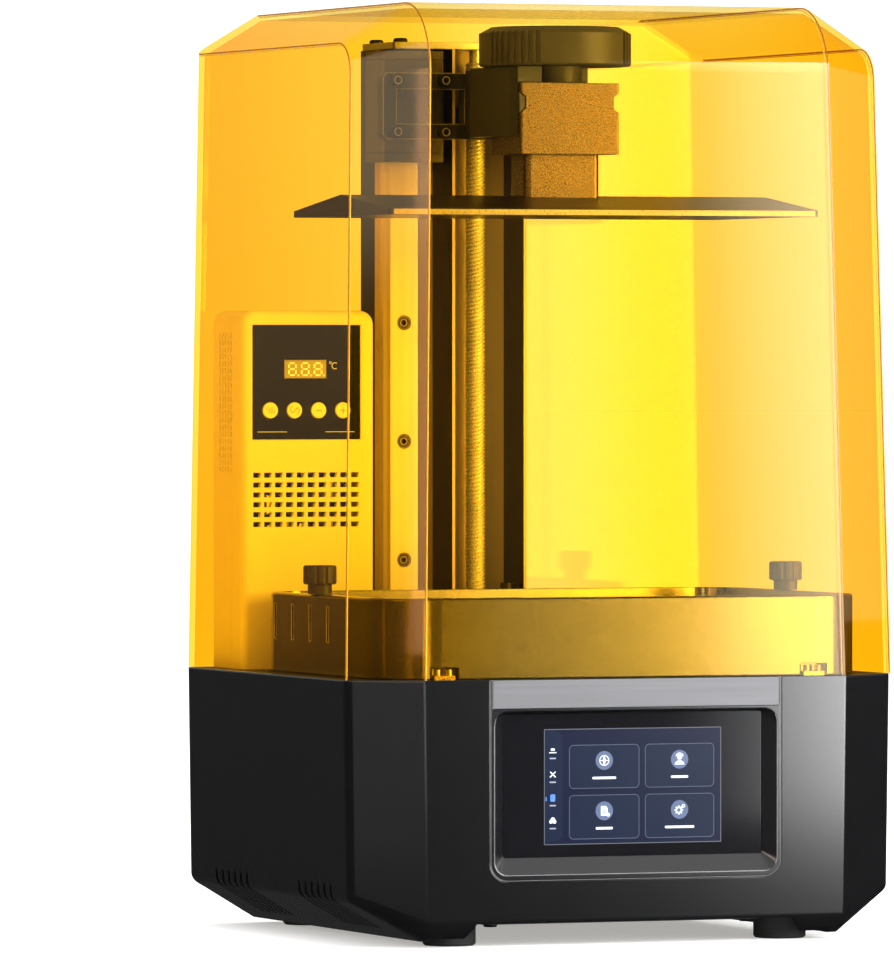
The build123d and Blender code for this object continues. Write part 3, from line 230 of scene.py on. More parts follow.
# ---------------------------------------------------------------- finishes, one for each record slot
DEEP_SPAN = (0.05, 0.143)  # distance from the middle over which the hood's tint deepens
BRUSH_X = (0.02, 1, 1)
BRUSH_Z = (1, 1, 0.02)
finishes = {
    "amber_hood": clear("amber_acrylic", (1.0, 0.885, 0.53), 0.03, gloss=0.03, most=0.3,
                        deep=(1.0, 0.80, 0.22)),
    "base_gloss": surface("black_casing", (0.0035, 0.0035, 0.0038), 0.14, spec=0.75, grain=1500, bump=0.008,
                          rough_vary=0.02, edge=0.0012),
    "black_steel": surface("black_powder_coat", (0.022, 0.022, 0.024), 0.5, spec=0.4, grain=2600, bump=0.2),
    "foot_rubber": surface("black_rubber", (0.018, 0.018, 0.018), 0.85, spec=0.25, grain=1800, bump=0.3),
    "screw_steel": surface("black_oxide", (0.05, 0.048, 0.045), 0.36, metal=1.0, grain=1200, edge=0.0003),
    # Bezel: its upward faces are painted lighter grey, a painted reflection of the light from above.
    "bezel_black": surface("black_bezel_painted_top_sheen", (0.005, 0.005, 0.0055), 0.17, spec=0.75, grain=1800, bump=0.01,
                           rough_vary=0.02, edge=0.0008, flank=(0.055, 0.055, 0.055), axis="Z"),
    "plate_dark": surface("dark_anodised_plate", (0.04, 0.03, 0.018), 0.32, metal=0.9, vary=0.05, grain=3200,
                          bump=0.15, edge=0.0006),
    "block_steel": surface("dark_plated_steel", (0.17, 0.155, 0.12), 0.3, metal=0.9, vary=0.06, patch=200,
                           grain=2600, bump=0.1, edge=0.0006),
    # Column: front faces keep the lighter plate colour; sideways faces are painted near-black, a painted
    # shade.
    "column_black": surface("satin_plate_painted_side_shade", (0.56, 0.46, 0.38), 0.34, metal=0.2, vary=0.05, patch=200,
                            grain=2600, bump=0.05, stretch=BRUSH_Z, edge=0, flank=(0.006, 0.006, 0.006)),
    "brushed_strip": surface("brushed_strip", (0.105, 0.105, 0.112), 0.45, metal=0.2, vary=0.09, patch=500,
                             grain=2600, bump=0.08, stretch=BRUSH_X, rough_vary=0.04, edge=0.0003),
    "black_glass": surface("black_cover_glass", (0.005, 0.005, 0.006), 0.07, spec=0.3, bump=0.0,
                           rough_vary=0.015, edge=0.0004),
    "display_module": surface("display_module", (0.04, 0.05, 0.07), 0.5, grain=1500),
    "screen_glass": surface("dark_screen_glass", (0.01, 0.01, 0.014), 0.06, bump=0.0, coat=0.5, edge=0),
    "screen_panel": surface("masking_screen", (0.03, 0.03, 0.04), 0.3, grain=2500),
    "reflector": surface("reflector_sheet", (0.82, 0.82, 0.84), 0.2, metal=1.0, patch=30),
    "circuit_green": surface("circuit_board", (0.015, 0.11, 0.05), 0.4, grain=2200, bump=0.15),
    "lens_clear": clear("lens_plastic", (0.9, 0.93, 0.96), 0.05),
    "bare_aluminium": surface("bare_aluminium", (0.66, 0.66, 0.67), 0.34, metal=1.0, patch=300,
                              grain=2200, bump=0.15, stretch=BRUSH_X),
    "zinc_steel": surface("zinc_plated_sheet", (0.55, 0.55, 0.54), 0.38, metal=1.0, vary=0.16, patch=90),
    "rail_steel": surface("ground_steel", (0.66, 0.60, 0.80), 0.36, metal=0.35, vary=0.06, patch=260,
                          grain=2400, bump=0.12, stretch=BRUSH_Z),
    "motor_black": surface("motor_paint", (0.03, 0.03, 0.03), 0.45),
    "screw_bright": surface("rolled_steel", (0.88, 0.86, 0.80), 0.28, metal=0.45, grain=1500, edge=0.0002),
    "nut_brass": surface("turned_brass", (0.72, 0.54, 0.24), 0.28, metal=1.0, grain=1600),
    "sensor_black": surface("sensor_plastic", (0.02, 0.02, 0.02), 0.5),
    "anodised_black": surface("black_anodised", (0.03, 0.03, 0.032), 0.38, metal=0.35, grain=3000, bump=0.2,
                              edge=0.0006),
    "plate_anodised": surface("blasted_anodised", (0.145, 0.10, 0.058), 0.27, metal=0.9, vary=0.02,
                              grain=3200, rough_vary=0.01, bump=0.01, edge=0.0006),
    "knob_black": surface("knob_plastic", (0.045, 0.042, 0.038), 0.42, spec=0.3, grain=2400, bump=0.1),
    "vat_anodised": surface("vat_anodised", (0.31, 0.295, 0.285), 0.2, metal=0.9, vary=0.03, patch=40,
                            grain=2800, bump=0.02, edge=0.0008),
    "film_clear": clear("release_film", (0.93, 0.95, 0.97), 0.08),
    "heater_plastic": surface("heater_plastic", (0.78, 0.77, 0.77), 0.42, vary=0.02, grain=2600, bump=0.2,
                              edge=0.0008),
    "heater_fascia": surface("fascia_gloss", (0.012, 0.012, 0.012), 0.1, spec=0.5, bump=0.0, edge=0.0004),
    "heater_display": surface("display_window", (0.36, 0.35, 0.30), 0.3, grain=1800),
    "button_light": surface("button_plastic", (0.88, 0.86, 0.80), 0.35, vary=0.02, grain=2400, bump=0.1,
                            edge=0.0003),
    "element_metal": surface("element_fins", (0.5, 0.5, 0.5), 0.4, metal=1.0),
    "fan_black": surface("fan_plastic", (0.022, 0.022, 0.024), 0.5, grain=2200, bump=0.2),
    "inlet_black": surface("inlet_plastic", (0.02, 0.02, 0.021), 0.45, grain=2200, bump=0.15),
    "rocker_black": surface("rocker_plastic", (0.025, 0.025, 0.025), 0.3, grain=2200),
    "coupling_metal": surface("turned_aluminium", (0.70, 0.70, 0.72), 0.26, metal=1.0, patch=400,
                              stretch=(1, 1, 20), grain=1500),
}
slot_of = {row["node"]: row["material_slot"] for row in frame["record"]["subparts"]}
for node_name, piece in nodes.items():
    piece.data.materials.clear()
    piece.data.materials.append(finishes[slot_of[node_name]])


# ---------------------------------------------------------------- mesh helpers
def finish_mesh(name, bm, material, body):
    """Links a bmesh as a named piece that rides on a body."""
    bmesh.ops.recalc_face_normals(bm, faces=bm.faces)
    mesh = bpy.data.meshes.new(name)
    bm.to_mesh(mesh)
    bm.free()
    piece = bpy.data.objects.new(name, mesh)
    bpy.context.scene.collection.objects.link(piece)
    mesh.materials.append(material)
    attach(piece, body)
    return piece


def raised(name, outlines, y, thick, material, body):
    """Flat marks facing the front: each (x, z) outline in millimetres becomes a thin closed plate."""
    bm = bmesh.new()
    for outline in outlines:
        front = [bm.verts.new((x * MM, (y - thick) * MM, z * MM)) for x, z in outline]
        back = [bm.verts.new((x * MM, y * MM, z * MM)) for x, z in outline]
        bm.faces.new(front)
        bm.faces.new(back[::-1])
        count = len(outline)
        for i in range(count):
            j = (i + 1) % count
            bm.faces.new((front[i], back[i], back[j], front[j]))
    return finish_mesh(name, bm, material, body)


def rounded(x0, x1, z0, z1, radius, steps=6):
    """Rounded rectangle outline."""
    points = []
    for cx, cz, start in ((x1 - radius, z1 - radius, 0), (x0 + radius, z1 - radius, 90),
                          (x0 + radius, z0 + radius, 180), (x1 - radius, z0 + radius, 270)):
        for i in range(steps + 1):
            a = radians(start + 90 * i / steps)
            points.append((cx + radius * cos(a), cz + radius * sin(a)))
    return points


def disc(x, z, radius, steps=28):
    """Circle outline."""
    turns = [2 * pi * i / steps for i in range(steps)]
    return [(x + radius * cos(a), z + radius * sin(a)) for a in turns]


def arc(x, z, radius, width, start, end, steps=16):
    """Arc of a ring as one outline."""
    outer, inner = [], []
    for i in range(steps + 1):
        a = radians(start + (end - start) * i / steps)
        outer.append((x + (radius + width / 2) * cos(a), z + (radius + width / 2) * sin(a)))
        inner.append((x + (radius - width / 2) * cos(a), z + (radius - width / 2) * sin(a)))
    return outer + inner[::-1]


def stroke(x0, z0, x1, z1, width):
    """Straight bar between two points."""
    run = Vector((x1 - x0, z1 - z0)).normalized() * width / 2
    return [(x0 + run.y, z0 - run.x), (x1 + run.y, z1 - run.x),
            (x1 - run.y, z1 + run.x), (x0 - run.y, z0 + run.x)]


def rim(x0, x1, z0, z1, radius, width):
    """Outline frame of a rounded rectangle, as quads."""
    outer = rounded(x0, x1, z0, z1, radius)
    inner = rounded(x0 + width, x1 - width, z0 + width, z1 - width, max(0.05, radius - width))
    count = len(outer)
    return [[outer[i], outer[(i + 1) % count], inner[(i + 1) % count], inner[i]] for i in range(count)]


def circles(places, y, radius, steps=24):
    """Closed rings that face the front, one at each (x, z), in millimetres."""
    turns = [2 * pi * i / steps for i in range(steps + 1)]
    return [[Vector((x + radius * cos(a), y, z + radius * sin(a))) * MM for a in turns] for x, z in places]


def creases(node, least_angle, keep):
    """Polylines along the sharp edges of a CAD node that keep() accepts."""
    bm = bmesh.new()
    bm.from_mesh(nodes[node].data)
    bmesh.ops.remove_doubles(bm, verts=bm.verts, dist=2e-6)
    links = {}
    for edge in bm.edges:
        if len(edge.link_faces) != 2 or edge.calc_face_angle(0) < radians(least_angle):
            continue
        a, b = (v.co.copy().freeze() for v in edge.verts)
        if keep((a + b) / 2):
            links.setdefault(a, set()).add(b)
            links.setdefault(b, set()).add(a)
    bm.free()
    chains = []
    ends = sorted((v for v in links if len(links[v]) != 2), key=tuple)
    for start in ends + sorted(links, key=tuple):
        while links.get(start):
            chain = [start]
            here = start
            while links[here]:
                step = min(links[here], key=tuple)
                links[here].discard(step)
                links[step].discard(here)
                chain.append(step)
                here = step
                if len(links[here]) != 1:
                    break
            chains.append(chain)
    return chains


def line_piece(name, chains, radius, material, body):
    """Thin round bead along polylines."""
    curve = bpy.data.curves.new(name, "CURVE")
    curve.dimensions = "3D"
    curve.bevel_depth = radius
    curve.bevel_resolution = 2
    curve.use_fill_caps = True
    for chain in chains:
        spline = curve.splines.new("POLY")
        spline.points.add(len(chain) - 1)
        for point, place in zip(spline.points, chain):
            point.co = (*place, 1)
    curve.materials.append(material)
    piece = bpy.data.objects.new(name, curve)
    bpy.context.scene.collection.objects.link(piece)
    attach(piece, body)
    return piece


# ---------------------------------------------------------------- hood edges
hood_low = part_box("hood")[0]
HOOD_BASE_Z = 0.13
SIDE_LEAN = 0.0183
CORNERS_X = (0.1116, 0.145)  # outer corners of the slanted bands, at the hood's base
BACK_Y = 0.118  # the hood's back wall starts here
LINE_INSET, LINE_R = 0.0004, 0.00036
GLINT_INSET, GLINT_R = 0.0012, 0.00034
edge_amber = clear("amber_edge", (0.55, 0.30, 0.22), 0.12, gloss=0.06, haze=0.35)
# The pale beads just inside the hood's corners are painted highlights.
hood_highlight_paint = clear("painted_pale_highlight", (1.0, 0.86, 0.62), 0.12, gloss=0.20, haze=0.35)


def outer_edge(p):
    """True on the outer corners of the hood's slanted bands, in front of its back wall."""
    upright = abs(p.x) + (p.z - HOOD_BASE_Z) * SIDE_LEAN
    on_corner = min(abs(upright - x) for x in CORNERS_X) < 0.0003
    return p.z > hood_low.z + 0.001 and p.y < BACK_Y and on_corner


def pulled_in(chains, by):
    """The same polylines moved inwards."""
    return [[Vector((p.x - by * (1 if p.x > 0 else -1), p.y + by * (1 if p.y < 0 else 0), p.z - by))
             for p in chain] for chain in chains]


hood_lines = creases("hood", 12, outer_edge)
line_piece("hood_corner_lines", pulled_in(hood_lines, LINE_INSET), LINE_R, edge_amber, "hood")
line_piece("hood_corner_glints", pulled_in(hood_lines, GLINT_INSET), GLINT_R, hood_highlight_paint, "hood")

# ---------------------------------------------------------------- painted highlights along edges and rims, with places in millimetres
BEAD, FINE_BEAD = 0.00022, 0.0002  # radii in metres
# Beads, rings and strips in these three lighter colours are painted highlights on edges and rims.
painted_rim_highlight = surface("painted_rim_highlight", (0.62, 0.58, 0.50), 0.3, metal=0.4, edge=0)
painted_bezel_highlight = surface("painted_bezel_highlight", (0.22, 0.22, 0.22), 0.4, edge=0)
dim_edge_highlight = surface("painted_edge_highlight", (0.34, 0.30, 0.24), 0.3, metal=0.4, edge=0)


def socket_heads(places, y, rim_depth, rim_radius, hex_depth, hex_radius):
    """Rings of painted highlight for socket-head screws: at each head's outer rim and the mouth of its socket.
    """
    return circles(places, y + rim_depth, rim_radius) + circles(places, y + hex_depth, hex_radius)


bracket_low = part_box("carriage_bracket")[0]
# Painted highlight beads along the bracket's front edges.
front_edges = creases("carriage_bracket", 40, lambda p: p.y < bracket_low.y + 0.0001)
line_piece("bracket_edge_highlights", front_edges, BEAD, dim_edge_highlight, "carriage")

HEAD_R = 3.5
screws_low, screws_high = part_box("bracket_screws")
bolt_xs = (screws_low.x / MM + HEAD_R, screws_high.x / MM - HEAD_R)
bolt_zs = (screws_low.z / MM + HEAD_R, screws_high.z / MM - HEAD_R)
bolts = [(x, z) for x in bolt_xs for z in bolt_zs]
bolt_rings = socket_heads(bolts, screws_low.y / MM, rim_depth=0.25, rim_radius=HEAD_R - 0.22,
                          hex_depth=0.1, hex_radius=1.9)
line_piece("bracket_screw_rim_highlights", bolt_rings, FINE_BEAD, painted_rim_highlight, "carriage")

FIRST_HOLE_Z, HOLE_PITCH, HOLES = 184.0, 60.0, 5
heads_low, heads_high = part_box("rail_screws")
rail_x = (heads_low.x + heads_high.x) / 2 / MM
rail_heads = [(rail_x, FIRST_HOLE_Z + HOLE_PITCH * i) for i in range(HOLES)]
rail_rings = socket_heads(rail_heads, heads_low.y / MM, rim_depth=0.2, rim_radius=3.2,
                          hex_depth=0.1, hex_radius=1.7)
line_piece("rail_screw_rim_highlights", rail_rings, BEAD, painted_rim_highlight, "base")

# Painted highlight: a thin strip along the lower front edge of the build plate.
PLATE_EDGE_X = 112.3
plate_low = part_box("build_plate")[0] / MM
plate_edge = rounded(-PLATE_EDGE_X, PLATE_EDGE_X, plate_low.z + 0.15, plate_low.z + 2.8, 0.3)
raised("plate_front_edge_highlight", [plate_edge], plate_low.y + 0.04, 0.05, dim_edge_highlight, "platform")

bezel_low, bezel_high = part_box("front_bezel")


def bezel_edge(p):
    """True on the bezel's outer edge at the front, apart from its top."""
    inset = min(p.x - bezel_low.x, bezel_high.x - p.x, p.z - bezel_low.z)
    return p.y < bezel_low.y + 0.0005 and inset < 0.003


# Painted highlight bead along the bezel's outer front edge.
bezel_lines = [[p + Vector((0, BEAD, 0)) for p in chain] for chain in creases("front_bezel", 30, bezel_edge)]
line_piece("bezel_rim_highlight", bezel_lines, BEAD, painted_bezel_highlight, "base")

# Painted highlight outlines round the slits in the vat's side.
SLIT_YS = (34, 10, -14, -38)
SLIT_HALF, SLIT_LOW, SLIT_HIGH = 1.6, 146.6, 164.3  # half width, and z of both ends
slit_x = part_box("vat_tub")[0].x / MM + 0.15
slits = []
for y in SLIT_YS:
    corners = [(y - SLIT_HALF, SLIT_LOW), (y + SLIT_HALF, SLIT_LOW),
               (y + SLIT_HALF, SLIT_HIGH), (y - SLIT_HALF, SLIT_HIGH)]
    slits.append([Vector((slit_x, *corner)) * MM for corner in [*corners, corners[0]]])
line_piece("vat_slit_edge_highlights", slits, FINE_BEAD, painted_rim_highlight, "vat")

# ---------------------------------------------------------------- touchscreen picture
FACE_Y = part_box("touchscreen_glass")[0].y / MM
LAYER = 0.03  # each layer of the picture lies this much in front of the one before
ui_back = lit("ui_background", (0.0012, 0.005, 0.028))
ui_tile = lit("ui_tile", (0.004, 0.011, 0.036))
ui_rim = lit("ui_rim", (0.085, 0.10, 0.15))
ui_frame = lit("ui_frame", (0.11, 0.12, 0.14))
ui_round = lit("ui_round", (0.11, 0.15, 0.26))
ui_white = lit("ui_white", (0.80, 0.86, 0.95))
ui_dim = lit("ui_dim", (0.32, 0.35, 0.42))
ui_blue = lit("ui_blue", (0.10, 0.26, 0.75))
SCREEN = (-47.0, 47.0, 49.0, 105.5)
SCREEN_CORNER = 0.4
COLUMNS = ((-33.8, 3.4), (6.4, 43.2))
ROWS = ((76.2, 97.6), (51.5, 73.1))
ICON_ZS = (89.8, 65.2)
TILE_CORNER, TILE_RIM = 2.3, 0.32
MENU_EDGE, MENU_CORNER = -46.5, 4.2


def on_screen(name, outlines, layer, thick, material):
    """Flat marks on the touchscreen, in a layer counted from the glass."""
    return raised(name, outlines, FACE_Y - LAYER * layer, thick, material, "base")


on_screen("ui_background", [rounded(*SCREEN, SCREEN_CORNER)], 0, 0.06, ui_back)
on_screen("ui_frame", rim(*SCREEN, SCREEN_CORNER, 0.4), 2, 0.03, ui_frame)
menu_panel = [(max(x, MENU_EDGE), z) for x, z in rounded(-49.0, -37.2, 50.2, 104.4, MENU_CORNER)]
cells = [(*column, *row) for column in COLUMNS for row in ROWS]
tiles = [rounded(*cell, TILE_CORNER) for cell in cells]
on_screen("ui_tiles", tiles + [menu_panel], 2, 0.03, ui_tile)
tile_rims = [quad for cell in cells for quad in rim(*cell, TILE_CORNER, TILE_RIM)]
on_screen("ui_tile_edges", tile_rims, 3, 0.02, ui_rim)

centres = [(sum(column) / 2, z) for z in ICON_ZS for column in COLUMNS]
on_screen("ui_icon_discs", [disc(x, z, 4.6, 40) for x, z in centres], 3, 0.03, ui_round)


def globe(x, z):
    """Globe icon: ring, meridians and parallels."""
    marks = [arc(x, z, 2.4, 0.45, 0, 180), arc(x, z, 2.4, 0.45, 180, 360)]
    marks += [stroke(x - 2.3, z, x + 2.3, z, 0.4), stroke(x, z - 2.3, x, z + 2.3, 0.4)]
    return marks + [arc(x - 3.0, z, 3.6, 0.38, -38, 38), arc(x + 3.0, z, 3.6, 0.38, 142, 218)]


def person(x, z):
    """Person icon: head, shoulders and a headset arc."""
    shoulders = [(x + 2.6 * cos(radians(a)), z - 2.6 + 2.1 * sin(radians(a))) for a in range(0, 181, 15)]
    return [disc(x, z + 1.1, 1.35), shoulders, arc(x, z + 1.1, 1.95, 0.4, 10, 170)]


def page(x, z):
    """Page icon with a cut corner, and a dot at its foot."""
    sheet = [(x - 1.8, z - 2.4), (x + 1.8, z - 2.4), (x + 1.8, z + 1.3), (x + 0.8, z + 2.4),
             (x - 1.8, z + 2.4)]
    return [sheet, disc(x + 2.1, z - 1.9, 0.95)]


def gear(x, z, radius, teeth=8):
    """Gear icon: toothed ring."""
    marks = [arc(x, z, radius * 0.68, radius * 0.42, start, start + 180) for start in (0, 180)]
    for i in range(teeth):
        a = 2 * pi * i / teeth
        marks.append(stroke(x + radius * 0.8 * cos(a), z + radius * 0.8 * sin(a),
                            x + radius * 1.12 * cos(a), z + radius * 1.12 * sin(a), radius * 0.36))
    return marks


world_at, help_at, file_at, (gear_x, gear_z) = centres
icons = globe(*world_at) + person(*help_at) + page(*file_at)
icons += gear(gear_x - 0.4, gear_z - 0.3, 2.0) + gear(gear_x + 2.0, gear_z + 1.7, 0.9, 6)
on_screen("ui_icons", icons, 4, 0.03, ui_white)
LABEL_WIDTHS = (12.6, 9.2, 9.0, 15.6)
bars = [rounded(x - width / 2, x + width / 2, z - 9.1, z - 7.9, 0.55)
        for (x, z), width in zip(centres, LABEL_WIDTHS)]
on_screen("ui_label_bars", bars, 3, 0.03, ui_white)
page_x, page_z = file_at
ruled = [stroke(page_x - 1.1, page_z + d, page_x + 0.9, page_z + d, 0.35) for d in (0.9, 0, -0.9)]
on_screen("ui_page_lines", ruled, 5, 0.02, ui_round)

MENU_X = -42.4
lid = [rounded(MENU_X - 1.0, MENU_X + 1.0, 94.9, 96.1, 0.3),
       stroke(MENU_X - 1.9, 94.0, MENU_X + 1.9, 94.0, 0.5)]
cross = [stroke(MENU_X - 1.5, 82.0, MENU_X + 1.4, 84.7, 0.6),
         stroke(MENU_X + 1.5, 82.0, MENU_X - 1.4, 84.7, 0.6)]
cloud = [disc(MENU_X - 0.9, 60.4, 1.0, 16), disc(MENU_X + 0.9, 60.3, 0.95, 16), disc(MENU_X, 61.3, 1.2, 16)]
on_screen("ui_menu_icons", lid + cross + cloud, 3, 0.03, ui_white)
active = [rounded(MENU_X - 1.3, MENU_X + 1.3, 70.1, 73.7, 0.7), rounded(-46.2, -45.7, 70.4, 72.4, 0.2)]
on_screen("ui_menu_active", active, 3, 0.03, ui_blue)
MENU_BAR_ZS = (91.2, 79.6, 68.2, 57.0)
menu_bars = [rounded(MENU_X - 1.7, MENU_X + 1.7, z - 0.35, z + 0.35, 0.3) for z in MENU_BAR_ZS]
on_screen("ui_menu_bars", menu_bars, 3, 0.03, ui_dim)

# ---------------------------------------------------------------- heater panel marks
PANEL_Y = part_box("heater_front_panel")[0].y / MM
DISPLAY_Y = 70.6  # face of the display in its window
FIRST_DIGIT_X, DIGIT_STEP, DIGIT_Z = -108.2, 6.9, 277.6
DIGIT_SIZE = (3.8, 6.0, 0.75)  # width, height and thickness of a segment
# The panel's printed marks get a faint glow of their own, which is painted light.
mark = lit("panel_print_painted_glow", (0.85, 0.84, 0.80), 0.8, 0.4)
digit_lit = lit("digit_segments", (0.95, 0.95, 0.90), 1.5)


def seven_segments(x, z, width, height, thick):
    """All seven segments of a digit and its point."""
    half, tip, shoulder = height / 2, 0.53, 0.75
    marks = []
    for row in (z, z + half, z + height):
        marks.append([(x + tip, row), (x + shoulder, row + thick / 2), (x + width - shoulder, row + thick / 2),
                      (x + width - tip, row), (x + width - shoulder, row - thick / 2),
                      (x + shoulder, row - thick / 2)])
    for side_x in (x, x + width):
        for low in (z, z + half):
            marks.append(stroke(side_x, low + 0.55, side_x, low + half - 0.55, thick))
    return marks + [disc(x + width + 1.3, z - 0.1, 0.45, 12)]


digits = []
for index in range(3):
    digits += seven_segments(FIRST_DIGIT_X + DIGIT_STEP * index, DIGIT_Z, *DIGIT_SIZE)
raised("heater_digits", digits, DISPLAY_Y, 0.25, digit_lit, "base")
degree = [arc(-86.0, 283.9, 0.55, 0.28, start, start + 180, 8) for start in (0, 180)]
letter_c = arc(-83.6, 282.3, 1.55, 0.42, 50, 310)
PANEL_LINE_Z = 249.1
PANEL_LINES = ((-125.2, -109.4), (-88.6, -73.1))
panel_lines = [stroke(x0, PANEL_LINE_Z, x1, PANEL_LINE_Z, 0.35) for x0, x1 in PANEL_LINES]
raised("heater_panel_marks", [*degree, letter_c, *panel_lines], PANEL_Y, 0.05, mark, "base")

BUTTON_Z = 259.9
icon_ink = surface("button_ink", (0.22, 0.17, 0.09), 0.5, edge=0)


def heat_icon(x, z):
    """Three rising waves."""
    waves = []
    for wave_x in (x - 1.3, x, x + 1.3):
        waves += [arc(wave_x, z - 0.75, 0.75, 0.3, -80, 80, 6), arc(wave_x, z + 0.75, 0.75, 0.3, 100, 260, 6)]
    return waves


def cycle_icon(x, z):
    """Two arcs round a slanted bar."""
    return [arc(x - 0.4, z + 0.5, 1.9, 0.32, 110, 250, 10), stroke(x - 1.2, z - 1.3, x + 1.5, z + 1.5, 0.32),
            arc(x + 0.4, z - 0.5, 1.9, 0.32, -70, 70, 10)]


def minus_icon(x, z):
    """Level bar."""
    return [stroke(x - 1.6, z, x + 1.6, z, 0.36)]


def plus_icon(x, z):
    """Level bar and upright bar."""
    return [*minus_icon(x, z), stroke(x, z - 1.6, x, z + 1.6, 0.36)]


for number, icon in enumerate((heat_icon, cycle_icon, minus_icon, plus_icon), 1):
    low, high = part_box(f"heater_button_{number}")
    shapes = icon((low.x + high.x) / 2 / MM, BUTTON_Z)
    raised(f"heater_button_icon_{number}", shapes, low.y / MM, 0.06, icon_ink, f"button_{number}")

# ---------------------------------------------------------------- lead screw thread
screw_low, screw_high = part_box("lead_screw")
SCREW_X, SCREW_Y = (screw_low.x + screw_high.x) / 2, (screw_low.y + screw_high.y) / 2
SHANK_LOW, THREAD_LOW, THREAD_HIGH = 0.1438, 0.1565, 0.436
SHANK_R, TOP_R = 0.004, 0.003
LEAD, STARTS = 0.008, 4
CREST, DEPTH = 0.005, 0.0009
FLAT, FLANK = 0.14, 0.18  # half width of a crest and width of a flank, in parts of the pitch
AROUND, RISE = 24, 0.00025
bm = bmesh.new()


def thread_radius(angle, z):
    """Radius of a trapezoidal multi-start thread."""
    phase = (z / LEAD * STARTS - angle / (2 * pi) * STARTS) % 1.0
    slope = min(1.0, max(0.0, (abs(phase - 0.5) - FLAT) / FLANK))
    return CREST - DEPTH * slope


def ring(z, radius_at):
    """One ring of vertices at a height."""
    found = []
    for i in range(AROUND):
        a = 2 * pi * i / AROUND
        r = radius_at(a, z)
        found.append(bm.verts.new((SCREW_X + r * cos(a), SCREW_Y + r * sin(a), z)))
    return found


rings = [ring(z, lambda a, z: SHANK_R) for z in (SHANK_LOW, THREAD_LOW)]
steps = int((THREAD_HIGH - THREAD_LOW) / RISE)
rings += [ring(THREAD_LOW + (i + 0.5) * RISE, thread_radius) for i in range(steps)]
rings += [ring(z, lambda a, z: TOP_R) for z in (THREAD_HIGH, screw_high.z)]
for lower, upper in zip(rings, rings[1:]):
    for i in range(AROUND):
        j = (i + 1) % AROUND
        bm.faces.new((lower[i], lower[j], upper[j], upper[i]))
bm.faces.new(rings[0][::-1])
bm.faces.new(rings[-1])
thread = finish_mesh("lead_screw_thread", bm, finishes["screw_bright"], "screw")
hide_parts("lead_screw")

# ---------------------------------------------------------------- floor, light and camera
REACH = 40.0
BACKDROP = 1.3  # brightness of everything behind the printer; the floor's glow makes it match
FLOOR = 0.93
FILL = (0.97, 0.98, 1.0)
floor_mesh = bpy.data.meshes.new("floor")
floor_corners = [(-REACH, -REACH, 0), (REACH, -REACH, 0), (REACH, REACH, 0), (-REACH, REACH, 0)]
floor_mesh.from_pydata(floor_corners, [], [(0, 1, 2, 3)])
floor = bpy.data.objects.new("floor", floor_mesh)
bpy.context.scene.collection.objects.link(floor)
floor_paint = surface("pale_floor", (FLOOR,) * 3, 0.9, spec=0.0, vary=0.01, bump=0.0, edge=0, patch=3)
floor_mesh.materials.append(floor_paint)
floor_shader = floor_paint.node_tree.nodes["Principled BSDF"]
floor_shader.inputs["Emission Color"].default_value = (*[BACKDROP - FLOOR * tint for tint in FILL], 1)
floor_shader.inputs["Emission Strength"].default_value = 1.0
floor.visible_glossy = False

world = bpy.data.worlds.new("studio")
bpy.context.scene.world = world
world.use_nodes = True
wn, wl = world.node_tree.nodes, world.node_tree.links
wn.clear()
world_out = wn.new("ShaderNodeOutputWorld")
path = wn.new("ShaderNodeLightPath")


def sky(colour, strength):
    """Even background light."""
    node = wn.new("ShaderNodeBackground")
    node.inputs["Color"].default_value = (*colour, 1)
    node.inputs["Strength"].default_value = strength
    return node


def glow(direction, cosines, strengths):
    """Strength of the background that rises towards one direction."""
    spot = wn.new("ShaderNodeTexCoord")
    dot = wn.new("ShaderNodeVectorMath")
    dot.operation = "DOT_PRODUCT"
    dot.inputs[1].default_value = Vector(direction).normalized()
    wl.new(spot.outputs["Generated"], dot.inputs[0])
    return map_range(wn, wl, dot.outputs["Value"], cosines, strengths)


seen = sky((1, 1, 1), BACKDROP)
fill = sky(FILL, 1.0)
mirror = sky((1, 1, 1), 1.0)
above = glow((0, 0, 1), (-0.03, 0.05), (0.08, 1.0))
behind = glow((0.1, 1.0, 0.0), (0.2, 0.9), (0.05, 0.5))
both = wn.new("ShaderNodeMath")
both.operation = "MULTIPLY"
wl.new(above, both.inputs[0])
wl.new(behind, both.inputs[1])
wl.new(both.outputs[0], mirror.inputs["Strength"])
gloss_mix = wn.new("ShaderNodeMixShader")
wl.new(path.outputs["Is Glossy Ray"], gloss_mix.inputs[0])
wl.new(fill.outputs[0], gloss_mix.inputs[1])
wl.new(mirror.outputs[0], gloss_mix.inputs[2])
camera_mix = wn.new("ShaderNodeMixShader")
wl.new(path.outputs["Is Camera Ray"], camera_mix.inputs[0])
wl.new(gloss_mix.outputs[0], camera_mix.inputs[1])
wl.new(seen.outputs[0], camera_mix.inputs[2])
wl.new(camera_mix.outputs[0], world_out.inputs["Surface"])


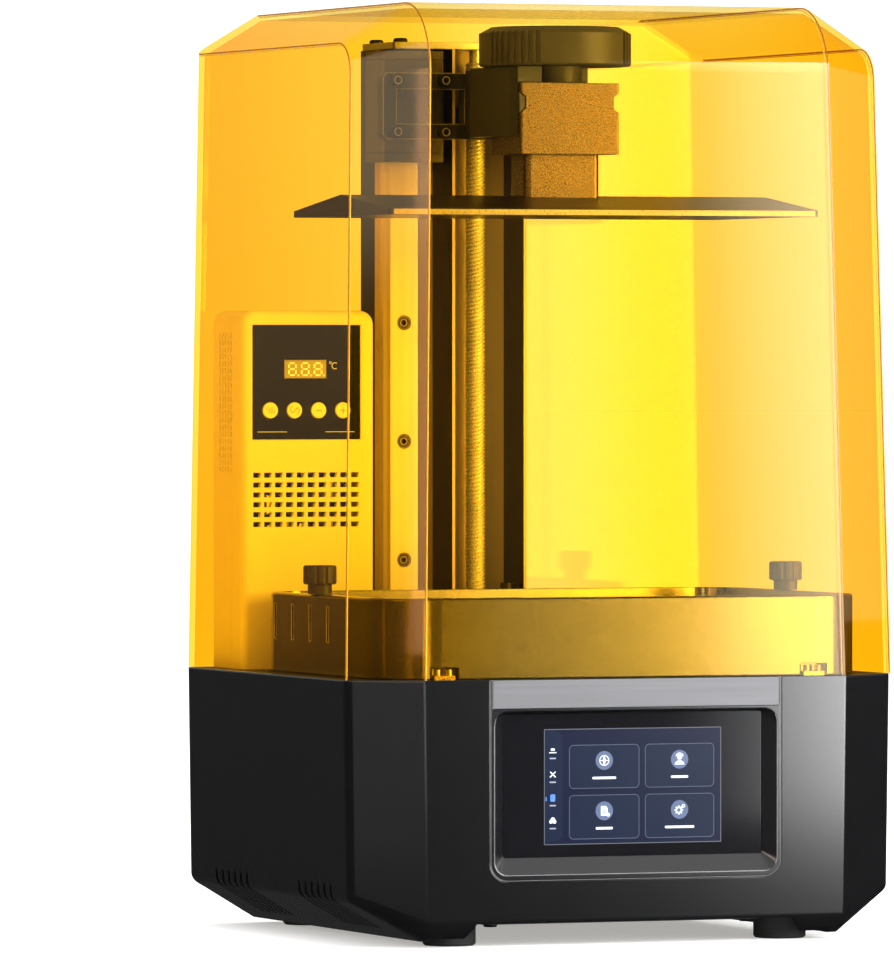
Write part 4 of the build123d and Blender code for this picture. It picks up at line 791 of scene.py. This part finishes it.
def softbox(name, place, target, size, power, fade=None, axis="X"):
    """Rectangular studio light of a power in watts; fade is the span, in parts of its width (axis X) or
    height (axis Y), over which it rises from nothing to full strength."""
    data = bpy.data.lights.new(name, "AREA")
    data.shape = "RECTANGLE"
    data.size, data.size_y = size
    data.energy = power
    if fade:
        data.use_nodes = True
        ns, ln = data.node_tree.nodes, data.node_tree.links
        ns.clear()
        out = ns.new("ShaderNodeOutputLight")
        glow_node = ns.new("ShaderNodeEmission")
        where = ns.new("ShaderNodeNewGeometry")
        split = ns.new("ShaderNodeSeparateXYZ")
        ln.new(where.outputs["Parametric"], split.inputs[0])
        ln.new(map_range(ns, ln, split.outputs[axis], fade), glow_node.inputs["Strength"])
        ln.new(glow_node.outputs[0], out.inputs["Surface"])
    lamp = bpy.data.objects.new(name, data)
    bpy.context.scene.collection.objects.link(lamp)
    lamp.location = place
    lamp.rotation_euler = (Vector(target) - Vector(place)).to_track_quat("-Z", "Y").to_euler()
    return lamp


softbox("front_right_box", (0.90, -1.12, 0.44), (0.06, -0.122, 0.28), (1.0, 0.9), 44, fade=(0.05, 0.26))
softbox("left_box", (-1.42, -1.0, 0.95), (-0.11, -0.11, 0.5), (1.25, 1.6), 13, fade=(0.15, 0.23), axis="Y")
warm_strip = softbox("left_strip", (-1.0393, -1.2933, 0.45), (-0.0914, -0.1313, 0.45), (0.107, 0.52), 0.8)
warm_strip.data.color = (1.0, 0.55, 0.35)
softbox("left_low_box", (-1.09, -1.27, 0.05), (-0.128, -0.11, 0.05), (0.3, 0.24), 0.07)
softbox("right_box", (1.62, -0.25, 0.42), (0.128, -0.112, 0.42), (0.5, 0.5), 1.0)
softbox("front_strip", (-0.30, -1.65, 0.35), (-0.11, -0.12, 0.3), (0.2, 0.7), 2.5)
softbox("top_box", (0.5, -0.25, 2.4), (0, 0, 0.23), (1.8, 1.4), 40).visible_glossy = False

CAMERA = Vector((-1.877, -4.5485, 0.2892))
CAMERA_RIGHT = Vector((0.925, -0.381, 0))
AIM = Vector((0, 0, 0.227)) - 0.04725 * CAMERA_RIGHT
camera_data = bpy.data.cameras.new("camera")
camera_data.lens = 372.0
camera_data.sensor_width = 36.0
camera_data.clip_end = 200.0
camera = bpy.data.objects.new("camera", camera_data)
bpy.context.scene.collection.objects.link(camera)
camera.location = CAMERA
camera.rotation_euler = (AIM - CAMERA).to_track_quat("-Z", "Y").to_euler()
bpy.context.scene.camera = camera
bpy.context.scene.view_settings.view_transform = "Standard"
